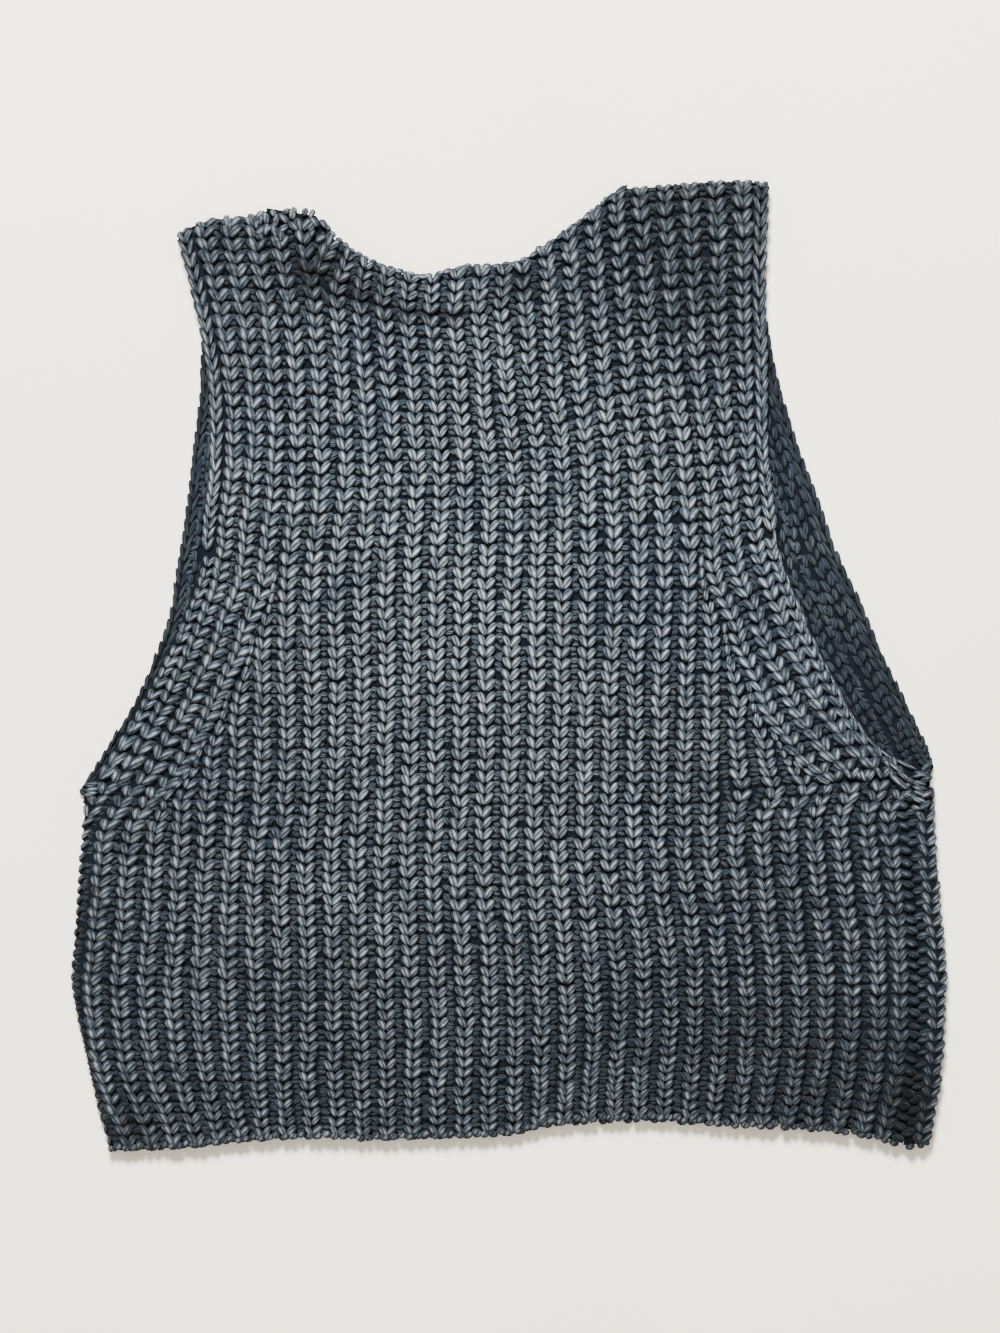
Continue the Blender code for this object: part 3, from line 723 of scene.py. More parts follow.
# How far the rows are drawn together at the left underarm, in courses, and over how many wales
# outwards and how many rows below and above it
drawnRows = {"up": 0.15, "down": 0.25, "wales": 5, "below": 6, "above": 5}


def drawnIn(k, row):
    aside = min(max(wales["leftInner"] - k - 0.5, 0.0) / drawnRows["wales"], 1.0)
    above = row - courses["underarm"]
    if above < 0:
        return aside * drawnRows["up"] * max(1 + (above + 1) / drawnRows["below"], 0.0)
    return -aside * drawnRows["down"] * max(1 - above / drawnRows["above"], 0.0)


allWales = range(wales["leftSeam"], wales["rightSeam"])


def stitchPlaces(panel, names=allWales, low=0, high=99):   # wale and course of every V
    found = []
    for k in names:
        stop, stretch = lastCourse(k), 1.0
        if stop is None:
            stop = float(topCourse(panel, k + 0.5))
            if k + 0.5 <= wales["neckLeft"] or k + 0.5 >= wales["neckRight"]:
                stop += stitches["overShoulder"]
            else:   # the last rows are spread so that they end at the neck seam
                calm = courses["calm"]
                stretch = (stop - calm) / (round(stop) - calm) if stop > calm + 2 else 1.0
                stop = round(stop)
        for row in range(low, min(max(int(stop + stitches["shortRow"]), 1), high)):
            past = max(row - courses["calm"], 0.0)
            found.append((k, row + past * (stretch - 1) + drawnIn(k, row)))
    return np.array(found, dtype=float)


# How the Vs change over the vest: the amount, where it starts and how far on it is reached
changes = {
    "spread": 0.97,                  # a little broader at the right side and narrow at the hem
    "topSpread": (-0.02, 60, 130),
    "hemSpread": (-0.03, -120, -90),
    "rightSpread": (0.03, 110, 70),
    "rightAtHem": (-0.4, -120, -90),
    "leftSize": (0.10, -90, -70),    # their strands are fuller towards the sides
    "rightSize": (0.06, 110, 60),
}


def changed(name, place):
    amount, start, length = changes[name]
    return amount * ease((place - start) / length)


def spreadAt(x, y):
    right = changed("rightSpread", x) * (1 + changed("rightAtHem", y))
    return changes["spread"] + changed("topSpread", y) + changed("hemSpread", y) + right


def sizeAt(x):
    return 1.0 + changed("leftSize", x) + changed("rightSize", x)


usualLook = {"size": 1.0, "skewed": 1.0, "flat": 1.0, "outwards": 0.0, "tone": 0.0, "wornAndLit": 1.0}


def laidLegs(lay, places, rng, look=None):   # both legs of the V at each wale and course
    look = {**usualLook, **(look or {})}
    wale, course = places[:, 0] + 0.5, places[:, 1] + 0.5
    frames = stitchFrames(lay, wale, course)
    wale, course = wale[frames["shows"]], course[frames["shows"]]
    frames = {key: value[frames["shows"]] for key, value in frames.items()}
    count = len(wale)
    x, y = lay(wale, course, np.full_like(wale, cloth["wall"]))[0][:, :2].T
    full = (frames["pitch"] / stitches["usualPitch"]) ** stitches["byPitch"]
    full = full * (frames["rise"] / stitches["usualRise"]) ** stitches["byRise"]
    full = full * look["size"] * sizeAt(x)
    edge = (np.abs(wale + 0.5) > stitches["edgeFrom"]) & (course > courses["underarm"])
    spreads = spreadAt(x, y) * np.where(edge, stitches["edgeSpread"], 1.0)
    full = full * (1 - stitches["bySpread"] * (1 - spreads))
    shape = dict(zip(leg["columns"], np.array(leg["rows"]).T[:, None]))
    strayU = rng.normal(0, stitches["uneven"], count) + stitches["sway"] * drift(x, y, 11)
    strayV = rng.normal(0, stitches["uneven"], count) * stitches["unevenUp"]
    aside = x / cloth["widest"] * look["skewed"]
    batches = []
    for sign, slant, skew in ((-1, stitches["leftSpread"], stitches["skewLeft"]),
                              (1, stitches["rightSpread"], stitches["skewRight"])):
        size = (rng.normal(1.0, stitches["unevenSize"], count) * full)[:, None]
        spread = sign * rng.normal(slant, stitches["unevenSpread"], count) * spreads * (1 + skew * aside)
        across = shape["across"] * spread[:, None]
        along = shape["along"] + (strayV + rng.normal(0, stitches["unevenLeg"], count))[:, None]
        u = wale[:, None] + across * frames["acrossWale"][:, None]
        u = u + along * frames["alongWale"][:, None] + strayU[:, None]
        v = course[:, None] + along * frames["alongCourse"][:, None]
        height = shape["height"] + rng.normal(0, stitches["unevenHeight"], count)[:, None]
        path, up = layRow(lay, u, v, height + look["outwards"], course[:, None])
        batches.append({
            "path": path, "up": up,
            "wide": stitches["halfWide"] * shape["wide"] * size,
            "thick": stitches["halfThick"] * shape["thick"] * size * look["flat"],
            "tone": strayTone(rng, look["tone"], stitches["unevenTone"], count),
            "wornAndLit": look["wornAndLit"],
        })
    return batches


# The purl loops that show between the ribs, deep in the valleys: a big and a small one each row;
# their lower tone and chalk are painted shade in the valleys
purls = {
    "shape": (   # wales from the valley, height, thickness
        (-0.15, 1.6, 0.4), (-0.08, 2.3, 0.85), (0.0, 2.6, 1.0), (0.08, 2.3, 0.85), (0.15, 1.6, 0.4),
    ),
    "loops": ((0.72, 1.0, 1.0), (0.25, 0.85, 0.92)),   # place in the row, size, share that shows
    "halfWide": 1.85,
    "halfThick": 1.45,
    "sunk": 0.15,
    "wornAndLit": 0.72,
    "tone": -0.1,
    "unevenLength": 0.15,
    "unevenWale": 0.03,
    "unevenTilt": 1.2,
    "unevenCourse": 0.07,
    "unevenHeight": 0.25,
    "unevenSize": 0.12,
    "unevenTone": 0.12,
}


def laidPurls(lay, places, rng, look=None):
    look = {**purls, **(look or {})}
    shown = stitchFrames(lay, places[:, 0], places[:, 1] + 0.5)["shows"]
    places = places[shown]
    aside, rise, thick = np.array(look["shape"]).T[:, None]
    batches = []
    for part, big, share in look["loops"]:
        wale, course = places[rng.uniform(size=len(places)) < share].T[:, :, None]
        count = (len(wale), 1)
        u = wale + aside * rng.normal(1, look["unevenLength"], count) * (0.5 + big / 2)
        u = u + rng.normal(0, look["unevenWale"], count)
        tilt = rng.normal(0, look["unevenTilt"], count) * aside
        v = course + part + rng.normal(0, look["unevenCourse"], count) + tilt
        height = rise + rng.normal(0, look["unevenHeight"], count) - look["sunk"]
        path, up = layRow(lay, u, v, height, course + 0.5)
        size = thick * rng.normal(1, look["unevenSize"], count) * big
        batches.append({"path": path, "up": up, "wide": look["halfWide"] * size,
                        "thick": look["halfThick"] * size, "wornAndLit": look["wornAndLit"],
                        "tone": strayTone(rng, look["tone"], look["unevenTone"], len(wale))})
    return batches


# A strand laid straight between two points of the cloth: shares of its length, rise, thickness
strokeShape = np.array((
    (0.0, -0.7, 0.35), (0.2, -0.15, 0.85), (0.5, 0.0, 1.0), (0.8, -0.15, 0.85), (1.0, -0.7, 0.35),
))
strokes = {"wornAndLit": 1.0, "uneven": 0.03, "unevenHeight": 0.15, "unevenSize": 0.1, "unevenTone": 0.13}


def laidStrokes(lay, ends, look, rng):   # each from one wale and course to another
    look = {**strokes, **look}
    share, rise, thick = strokeShape.T[:, None]
    startU, startV, endU, endV = np.array(ends, dtype=float).T[:, :, None]
    count = startU.shape
    u = mix(startU, endU, share) + rng.normal(0, look["uneven"], count)
    v = mix(startV, endV, share) + rng.normal(0, look["uneven"], count)
    height = look["height"] + rise * look["bulge"] + rng.normal(0, look["unevenHeight"], count)
    path, up = lay(u, v, height)
    size = rng.normal(1.0, look["unevenSize"], count) * thick
    return {"path": path, "up": up, "wide": look["halfWide"] * size,
            "thick": look["halfThick"] * size, "wornAndLit": look["wornAndLit"],
            "tone": strayTone(rng, look["tone"], look["unevenTone"], len(ends))}


# Chained edges of the armholes: two ropes of long strokes that overlap, thin below, full above
chain = {
    "halfWide": 1.6, "halfThick": 1.4, "height": 3.2, "bulge": 1.5, "tone": 0.03,
    "ropes": ((0.42, -0.04, 1.4), (0.46, 0.90, 1.4)),   # shares of the selvedge, courses long
}
lowChain = {
    "halfWide": 1.0, "halfThick": 1.0, "height": 3.3, "bulge": 1.3, "tone": 0.1, "uneven": 0.05,
    "ropes": ((0.52, 0.62, 1.25),),
}
# The chain inside the front: its lower tone and chalk are painted shade under the back's edge
insideChain = {
    "halfWide": 1.2, "halfThick": 1.1, "height": 3.3, "bulge": 1.2, "tone": -0.2, "wornAndLit": 0.62,
    "ropes": ((0.44, 0.14, 1.45), (0.55, 0.88, 1.45)),
}


def chainEnds(look, first, last, edges=(-1, 1)):
    ends = []
    for side in edges:
        seam = wales["leftSeam"] if side < 0 else wales["rightSeam"]
        for low, high, long in look["ropes"]:
            for row in np.arange(first, last, 1.0):
                ends.append((seam + side * low, row, seam + side * high, row + long))
    return ends


# Inside of the front, where it shows past the back: long thin strokes in close columns;
# their lower tone and chalk are painted shade under the back's edge
innerStrokes = {
    "halfWide": 1.75, "halfThick": 1.25, "height": 3.2, "bulge": 1.0, "tone": -0.10, "wornAndLit": 0.70,
    "uneven": 0.05,
    "left": (-17, -11.9),     # the wales where they show
    "right": (11, 16.1),
    "low": 32.6,              # and the courses
    "high": 73,
    "start": 0.12,
    "apart": 0.27,            # from one column to the next
    "lean": 0.05,             # every other column leans the other way
    "long": 0.98,
    "stagger": 0.35,          # courses by which a column starts above its neighbour
    "foldAt": 15.2,           # the column here is folded away up to a course
    "foldWide": 0.13,
    "foldTo": 44.0,
}


def innerEnds():
    look, ends = innerStrokes, []
    for low, high in (look["left"], look["right"]):
        for i, wale in enumerate(np.arange(low + look["start"], high, look["apart"])):
            lean = look["lean"] if i % 2 else -look["lean"]
            folded = abs(wale - look["foldAt"]) < look["foldWide"]
            start = look["foldTo"] if folded else look["low"]
            for row in np.arange(start + look["stagger"] * (i % 3), look["high"], 1.0):
                ends.append((wale - lean, row, wale + lean, row + look["long"]))
    return ends


# The end of an armhole, where the edges are drawn together: long strands, in millimetres
gathers = {
    "halfWide": 1.65, "halfThick": 1.3, "height": 10.2, "bulge": 0.8, "tone": 0.06, "uneven": 0.15,
}
gatherEnds = (
    (208.5, -54.5, 217.5, -60.5), (209.5, -61.0, 220.5, -69.5), (213.0, -58.6, 222.0, -66.0),
    (222.0, -64.8, 229.5, -66.6), (222.2, -67.6, 229.5, -69.2), (222.5, -70.4, 229.0, -71.6),
    (223.0, -59.6, 232.5, -62.2), (222.0, -62.6, 232.0, -58.6), (227.0, -59.5, 232.8, -53.6),
    (226.5, -64.8, 233.0, -62.6), (227.0, -73.6, 232.5, -70.2), (216.5, -72.0, 222.5, -73.0),
    (222.5, -74.0, 229.5, -76.5), (226.0, -80.0, 231.5, -75.5), (221.5, -78.5, 226.5, -80.0),
    (201.8, -56.6, 205.4, -63.0), (209.4, -57.4, 206.2, -63.0), (184.6, -57.2, 188.2, -63.2),
    (192.4, -57.2, 189.0, -63.2), (193.6, -58.8, 197.0, -64.8), (200.8, -59.0, 197.8, -64.8),
    (-233.0, -72.5, -226.0, -71.0), (-232.5, -67.0, -225.0, -66.0), (-232.2, -69.8, -225.2, -68.6),
)
plainEdges = {"left": -236.0, "right": 235.5}   # how far out the sides turn down


def layPlain(x, y, height):   # in millimetres, sinking where the sides turn down
    x, y, height = np.broadcast_arrays(x, y, height)
    inside = np.clip(np.minimum(x - plainEdges["left"], plainEdges["right"] - x), 0.0, turnOuter)
    sunk = turnOuter - np.sqrt(turnOuter ** 2 - (turnOuter - inside) ** 2)
    point = np.stack((x, y, height - sunk), axis=-1)
    return point, np.broadcast_to((0.0, 0.0, 1.0), point.shape)


# Marks where two wales were knitted together: short upright loops, one on the other
marks = {
    "halfWide": 1.7, "halfThick": 1.5, "height": 3.7, "bulge": 1.2, "tone": -0.02,
    "rows": (-2.6, -1.7, -0.8, 0.1),   # courses from the end of the wale
    "long": 0.85,
    "inwards": 0.12,                   # each leans outwards from here, in wales from the middle
    "outwards": 0.10,
}


def markEnds():
    ends = []
    left, right, count = wales["leftInner"], wales["rightInner"], len(courses["decreases"])
    for k in [*range(left - count, left), *range(right, right + count)]:
        side = -1 if k < 0 else 1
        start, end = k + 0.5 - marks["inwards"] * side, k + 0.5 + marks["outwards"] * side
        for step in marks["rows"]:
            row = lastCourse(k) + step
            ends.append((start, row, end, row + marks["long"]))
    return ends


# Cast-on edge of the hem: a row of round knots
knots = {
    "halfWide": 2.6, "halfThick": 2.0, "height": 2.7, "bulge": 1.0, "tone": -0.08, "wornAndLit": 0.95,
    "places": ((0.02, -0.38), (0.35, -0.58), (0.69, -0.52)),   # in each wale, and from the hem
    "lean": 0.03,
    "long": 0.62,
}


def knotEnds():
    ends = []
    for k in allWales:
        for part, low in knots["places"]:
            ends.append((k + part - knots["lean"], low, k + part + knots["lean"], low + knots["long"]))
    return ends


# Purl loops that bridge the right side seam in its groove, lying across it
bridges = {
    "halfWide": 2.1, "halfThick": 1.6, "height": 9.1, "bulge": 1.6, "tone": -0.1, "wornAndLit": 0.84,
    "uneven": 0.6,
    "columns": ((-3.2, 0.0, 0.9), (2.3, 0.5, -1.1)),   # mm from the seam, courses up, mm of tilt
    "reach": 3.2,
    "first": 0.4,
    "past": 1.5,              # courses on from where the seam leaves for the edge
    "insideSeam": 0.02,
}


def bridgeEnds():
    ends = []
    wale, reach = wales["rightSeam"] - bridges["insideSeam"], bridges["reach"]
    for aside, up, tilt in bridges["columns"]:
        for course in np.arange(bridges["first"] + up, courses["seamLeaves"] + bridges["past"], 1.0):
            x = float(edgeOf(back, "rightX", course)) - cloth["rightSeamOver"] + aside
            y = float(placeOn(back, wale, np.array([course]))[1][0])
            ends.append((x - reach, y + tilt, x + reach, y - tilt))
    return ends


# Where the neckband meets the left shoulder: loops picked up close together
pickedUp = {
    "left": -138.0,           # where they lie, in millimetres
    "right": -99.0,
    "low": 235.0,
    "high": 262.0,
    "step": 5.0,              # from one to the next
    "closer": 0.8,            # and so much closer upwards
    "raised": 2.6,            # every other column
    "uneven": 0.9,
    "bareFrom": -118,         # there are none in the middle below this height
    "bareTo": -109,
    "bareBelow": 244,
    "inside": 2.2,            # from the fold of the shoulder
    "corner": -108.0,         # right of this they end lower and lower
    "slope": 1.1,
    "turns": (0.5, 2.6),      # radians from a line across
    "long": 3.4,
    "lengths": (0.7, 1.1),
    "halfWide": 1.9,
    "halfThick": 1.7,
    "sunk": 1.5,
    "over": 1.45,             # the fold is followed this far down, in radii
    "tone": -0.08,
    "unevenSize": 0.12,
    "unevenTone": 0.14,
    "wornAndLit": 1.0,
}


def pickedUpLoops(rng):
    look = pickedUp
    xs, ys = np.meshgrid(np.arange(look["left"], look["right"] + 1, look["step"]),
                         np.arange(look["low"], look["high"], look["step"] * look["closer"]))
    xs, ys = xs.ravel(), ys.ravel()
    xs = xs + rng.normal(0, look["uneven"], len(xs))
    even = (np.round(xs / look["step"]) % 2) == 0
    ys = ys + rng.normal(0, look["uneven"], len(ys)) + np.where(even, look["raised"], 0)
    shown = ys < foldY(xs) - look["inside"] - look["slope"] * np.maximum(xs - look["corner"], 0)
    shown &= (xs < look["bareFrom"]) | (xs > look["bareTo"]) | (ys > look["bareBelow"])
    xs, ys = xs[shown][:, None], ys[shown][:, None]
    turn = rng.uniform(*look["turns"], xs.shape)
    share, rise, thick = strokeShape.T[:, None]
    reach = (share - 0.5) * 2 * look["long"] * rng.uniform(*look["lengths"], xs.shape)
    x, y = xs + np.cos(turn) * reach, ys + np.sin(turn) * reach
    start = foldY(x) - turnOuter
    over = np.clip(y - start, 0, turnOuter * look["over"])
    angle = math.pi / 2 - over / turnOuter
    radius = turnOuter - look["sunk"] + rise
    y = np.where(over > 0, start + radius * np.cos(angle), y)
    path = np.stack((x, y, cloth["turnMiddle"] + radius * np.sin(angle)), axis=-1)
    up = np.stack((np.zeros_like(x), np.cos(angle), np.sin(angle)), axis=-1)
    size = rng.normal(1.0, look["unevenSize"], xs.shape) * thick
    return {"path": path, "up": up, "wide": look["halfWide"] * size,
            "thick": look["halfThick"] * size, "wornAndLit": look["wornAndLit"],
            "tone": strayTone(rng, look["tone"], look["unevenTone"], len(xs))}


# Loops of the last row along the neckband's free edge, and up the corner of the right shoulder
bandEdge = {
    "halfWide": 1.7, "halfThick": 1.5, "height": 3.0, "bulge": 0.9, "tone": -0.03,
    "left": -8.7,
    "right": 5.8,
    "apart": 0.41,
    "long": 0.36,             # in wales
    "low": 3.70,              # courses of the band
    "high": 3.86,
}


def bandEdgeEnds():
    starts = np.arange(bandEdge["left"], bandEdge["right"], bandEdge["apart"])
    return [(wale, bandEdge["low"], wale + bandEdge["long"], bandEdge["high"]) for wale in starts]


corner = {   # in millimetres
    "halfWide": 1.6, "halfThick": 1.5, "height": 8.7, "bulge": 0.9, "tone": -0.03, "uneven": 0.1,
    "ends": ((54.0, 254.6, 59.5, 258.6), (58.6, 257.8, 65.0, 262.6), (59.0, 255.0, 63.5, 258.4)),
}

straightWales = {             # these run on over the neckband to its free edge
    "names": (-8, 1, 2, 3, 4, 5),
    "most": 12,               # courses that they go on for
    "step": 0.05,
}
freeEdge = {"columns": lineColumns, "rows": (
    (-140, 246), (-104, 246), (-98, 240), (-82, 226), (-60, 217), (-34, 217), (-8, 220), (5, 222),
    (29, 237), (49, 252), (58, 259), (65, 263),
)}


def straightPlaces():
    found = []
    for k in straightWales["names"]:
        start = float(topCourse(back, k + 0.5))
        tries = np.arange(start, start + straightWales["most"], straightWales["step"])
        x, y = placeOn(back, np.full_like(tries, k + 0.5), tries)
        edgeX, edgeY = np.array(freeEdge["rows"], dtype=float).T
        stop = tries[np.argmax(y > np.interp(x, edgeX, edgeY))]
        count = max(round(stop - start), 1)
        found += [(k, mix(start, stop, row / count)) for row in range(count)]
    return np.array(found, dtype=float)


def linear(code):   # sRGB hex to linear
    parts = [int(code[i:i + 2], 16) / 255 for i in (1, 3, 5)]
    return [p / 12.92 if p <= 0.04045 else ((p + 0.055) / 1.055) ** 2.4 for p in parts] + [1.0]


def newMaterial(name):
    material = bpy.data.materials.new(name)
    material.use_nodes = True
    tree = material.node_tree
    tree.nodes.clear()
    return material, tree


def addNode(tree, kind, settings=None, inputs=None):
    node = tree.nodes.new(kind)
    for key, value in (settings or {}).items():
        setattr(node, key, value)
    for key, value in (inputs or {}).items():
        if isinstance(value, bpy.types.NodeSocket):
            tree.links.new(value, node.inputs[key])
        else:
            node.inputs[key].default_value = value
    return node


# Heavy cotton yarn of loose plies, dyed as a finished garment and then stone washed: the wash
# has rubbed the raised side of each stitch chalky and left the dye dark in the hollows. Over that,
# light and shade are painted on: upper sides lighter, flanks, ends and ply grooves darker.
yarn = {
    "shade": "#080e16",       # dye that the wash didn't reach, and painted shade on the flanks, ends and ply grooves
    "blue": "#414d5c",        # worn dye at the sides and the hem
    "green": "#667276",       # and over the middle
    "chalkAndLight": "#9fa8b1",       # rubbed tops of the stitches, and painted highlight on the sides that face up
    "plies": 5.0,
    "twist": 0.2,             # turns of the plies along one leg
    "turned": 9.0,            # so that no two strands start alike
    "plyRound": 0.65,
    "plyDepth": 0.28,         # in millimetres, as are the three sizes below
    # share of painted shade in the grooves between the plies
    "plyShade": 0.95,
    "fibres": 2 / 3,          # real ones are far too fine to show, so they are drawn in bundles
    "fibreBump": 0.5,
    "fibreLight": (0.74, 1.22),
    "stones": 4.348,          # how wide the stones of the wash rub at a time
    "clouds": 18.18,          # uneven places in the dye, a little wider than a rib
    "cloudy": 0.35,
    "darkest": 0.25,          # lightness of the darkest strands: those that took the dye best and those given painted shade
    "flankShadeRange": (0.22, 0.8),   # how rubbed and lit a place is, between full shade and none: dark dye and painted shade
    "rubbing": (0.28, 0.64),  # and between no chalk and most
    "chalky": 0.9,
    "rubbedLeast": 0.5,
    "rubbedByTone": 1.1,
    "bump": 0.8,
    "roughness": 0.92,        # bare cotton has hardly a highlight
    "sheen": 0.04,
    "sheenRoughness": 0.5,
    "specular": 0.11,
}


def yarnMaterial():
    material, tree = newMaterial("washed_cotton_yarn")
    strand = addNode(tree, "ShaderNodeUVMap", {"uv_map": "strand"}).outputs[0]
    around, along = addNode(tree, "ShaderNodeSeparateXYZ", inputs={0: strand}).outputs[:2]
    tone, chalkAndLight, green, paleAndShade = (
        addNode(tree, "ShaderNodeAttribute", {"attribute_name": name}).outputs["Fac"]
        for name in ("tone", "chalkAndLight", "green", "paleAndShade")
    )
    place = addNode(tree, "ShaderNodeTexCoord").outputs["Object"]
    shade, blue, rubbedBlue = linear(yarn["shade"]), linear(yarn["blue"]), linear(yarn["green"])

    turned = addNode(tree, "ShaderNodeMath", {"operation": "MULTIPLY"},
                     {0: tone, 1: yarn["turned"]}).outputs[0]
    turned = addNode(tree, "ShaderNodeMath", {"operation": "MULTIPLY_ADD"},
                     {0: along, 1: yarn["twist"] * yarn["plies"], 2: turned}).outputs[0]
    turned = addNode(tree, "ShaderNodeMath", {"operation": "MULTIPLY_ADD"},
                     {0: around, 1: yarn["plies"], 2: turned}).outputs[0]
    turned = addNode(tree, "ShaderNodeMath", {"operation": "MULTIPLY"},
                     {0: turned, 1: 2 * math.pi}).outputs[0]
    wave = addNode(tree, "ShaderNodeMath", {"operation": "SINE"}, {0: turned}).outputs[0]
    wave = addNode(tree, "ShaderNodeMath", {"operation": "MULTIPLY_ADD"},
                   {0: wave, 1: 0.5, 2: 0.5}).outputs[0]
    ply = addNode(tree, "ShaderNodeMath", {"operation": "POWER"}, {0: wave, 1: yarn["plyRound"]}).outputs[0]

    fibres = addNode(tree, "ShaderNodeTexNoise", inputs={
        "Vector": place, "Scale": 1 / (yarn["fibres"] * mm), "Detail": 3.0, "Roughness": 0.65,
    }).outputs["Fac"]
    stones = addNode(tree, "ShaderNodeTexNoise", inputs={
        "Vector": place, "Scale": 1 / (yarn["stones"] * mm), "Detail": 4.0, "Roughness": 0.6,
    }).outputs["Fac"]
    clouds = addNode(tree, "ShaderNodeTexNoise", inputs={
        "Vector": place, "Scale": 1 / (yarn["clouds"] * mm), "Detail": 2.0,
    }).outputs["Fac"]

    cloudy = addNode(tree, "ShaderNodeMapRange", inputs={
        "Value": clouds, "From Min": 0.35, "From Max": 0.65, "To Min": -yarn["cloudy"],
        "To Max": yarn["cloudy"],
    }).outputs[0]
    greener = addNode(tree, "ShaderNodeMath", {"operation": "ADD", "use_clamp": True},
                      {0: green, 1: cloudy}).outputs[0]
    colour = addNode(tree, "ShaderNodeMix", {"data_type": "RGBA"},
                     {0: greener, 6: blue, 7: rubbedBlue}).outputs[2]
    lit = addNode(tree, "ShaderNodeMapRange", inputs={
        "Value": tone, "From Min": 0.0, "From Max": 1.0, "To Min": yarn["darkest"], "To Max": 1.0,
    }).outputs[0]
    colour = addNode(tree, "ShaderNodeMix", {"data_type": "RGBA"}, {0: lit, 6: shade, 7: colour}).outputs[2]
    # Painted shade: the flanks, under sides and ends of each strand turn to the shade colour, over the dark
    # of the unwashed dye
    flankShade = addNode(tree, "ShaderNodeMapRange", inputs={
        "Value": chalkAndLight, "From Min": yarn["flankShadeRange"][0], "From Max": yarn["flankShadeRange"][1],
    }).outputs[0]
    colour = addNode(tree, "ShaderNodeMix", {"data_type": "RGBA"},
                     {0: flankShade, 6: shade, 7: colour}).outputs[2]

    raised = addNode(tree, "ShaderNodeMath", {"operation": "MULTIPLY"}, {0: chalkAndLight, 1: chalkAndLight}).outputs[0]
    rubbed = addNode(tree, "ShaderNodeMath", {"operation": "MULTIPLY"}, {0: stones, 1: raised}).outputs[0]
    rubbed = addNode(tree, "ShaderNodeMapRange", inputs={
        "Value": rubbed, "From Min": yarn["rubbing"][0], "From Max": yarn["rubbing"][1],
        "To Max": yarn["chalky"],
    }).outputs[0]
    byTone = addNode(tree, "ShaderNodeMath", {"operation": "MULTIPLY_ADD"},
                     {0: tone, 1: yarn["rubbedByTone"], 2: yarn["rubbedLeast"]}).outputs[0]
    rubbed = addNode(tree, "ShaderNodeMath", {"operation": "MULTIPLY"}, {0: rubbed, 1: byTone}).outputs[0]
    # The chalk colour: rubbed on by the wash, and a painted highlight on the sides that face up
    colour = addNode(tree, "ShaderNodeMix", {"data_type": "RGBA"},
                     {0: rubbed, 6: colour, 7: linear(yarn["chalkAndLight"])}).outputs[2]
    # Painted shade in the grooves between the plies
    plied = addNode(tree, "ShaderNodeMix", {"data_type": "RGBA"}, {0: ply, 6: shade, 7: colour}).outputs[2]
    colour = addNode(tree, "ShaderNodeMix", {"data_type": "RGBA"},
                     {0: yarn["plyShade"], 6: colour, 7: plied}).outputs[2]
    light = addNode(tree, "ShaderNodeMapRange", inputs={
        "Value": fibres, "From Min": 0.3, "From Max": 0.7, "To Min": yarn["fibreLight"][0],
        "To Max": yarn["fibreLight"][1],
    }).outputs[0]
    light = addNode(tree, "ShaderNodeMath", {"operation": "MULTIPLY"}, {0: light, 1: paleAndShade}).outputs[0]
    colour = addNode(tree, "ShaderNodeHueSaturation", inputs={"Value": light, "Color": colour}).outputs[0]

    height = addNode(tree, "ShaderNodeMath", {"operation": "MULTIPLY_ADD"},
                     {0: fibres, 1: yarn["fibreBump"], 2: ply}).outputs[0]
    bump = addNode(tree, "ShaderNodeBump", inputs={
        "Strength": yarn["bump"], "Distance": yarn["plyDepth"] * mm, "Height": height,
    }).outputs[0]
    shader = addNode(tree, "ShaderNodeBsdfPrincipled", inputs={
        "Base Color": colour, "Roughness": yarn["roughness"], "Normal": bump,
        "Sheen Weight": yarn["sheen"], "Sheen Roughness": yarn["sheenRoughness"],
        "Specular IOR Level": yarn["specular"],
    }).outputs[0]
    addNode(tree, "ShaderNodeOutputMaterial", inputs={0: shader})
    return material


# The ground of the knit behind the stitches: loops of the same yarn that the wash didn't reach,
# kept near black, darker than the dye: painted shade in the gaps between the stitches
groundAndShade = {
    "dark": "#03060a",
    "light": "#080e15",
    "loops": 3.125,           # how wide a loop is, in millimetres
    "depth": 0.6,             # and how deep
    "bump": 0.7,
    "roughness": 0.95,
    "specular": 0.1,
}


def groundMaterial():
    material, tree = newMaterial("knit_ground_and_shade")
    place = addNode(tree, "ShaderNodeTexCoord").outputs["Object"]
    loops = addNode(tree, "ShaderNodeTexNoise", inputs={
        "Vector": place, "Scale": 1 / (groundAndShade["loops"] * mm), "Detail": 3.0,
    }).outputs["Fac"]
    colour = addNode(tree, "ShaderNodeMix", {"data_type": "RGBA"},
                     {0: loops, 6: linear(groundAndShade["dark"]), 7: linear(groundAndShade["light"])}).outputs[2]
    bump = addNode(tree, "ShaderNodeBump", inputs={
        "Strength": groundAndShade["bump"], "Distance": groundAndShade["depth"] * mm, "Height": loops,
    }).outputs[0]
    shader = addNode(tree, "ShaderNodeBsdfPrincipled", inputs={
        "Base Color": colour, "Roughness": groundAndShade["roughness"], "Normal": bump,
        "Specular IOR Level": groundAndShade["specular"],
    }).outputs[0]
    addNode(tree, "ShaderNodeOutputMaterial", inputs={0: shader})
    return material


# The sheet underneath is bleached cotton, pressed smooth: an even warm white without a shine
sheetLook = {
    "colour": "#f4eedc",
    "shade": "#eee7d3",       # a little deeper where it was pressed less
    "pressed": 200,           # how wide such a place is, in millimetres
    "threads": 10 / 9,        # real ones are finer, and these are drawn two or three together
    "threadDepth": 0.3,
    "bump": 0.15,
    "roughness": 0.9,
    "specular": 0.2,
    "half": 1.6,              # in metres, as is the height of its top
    "top": -0.0001,
}


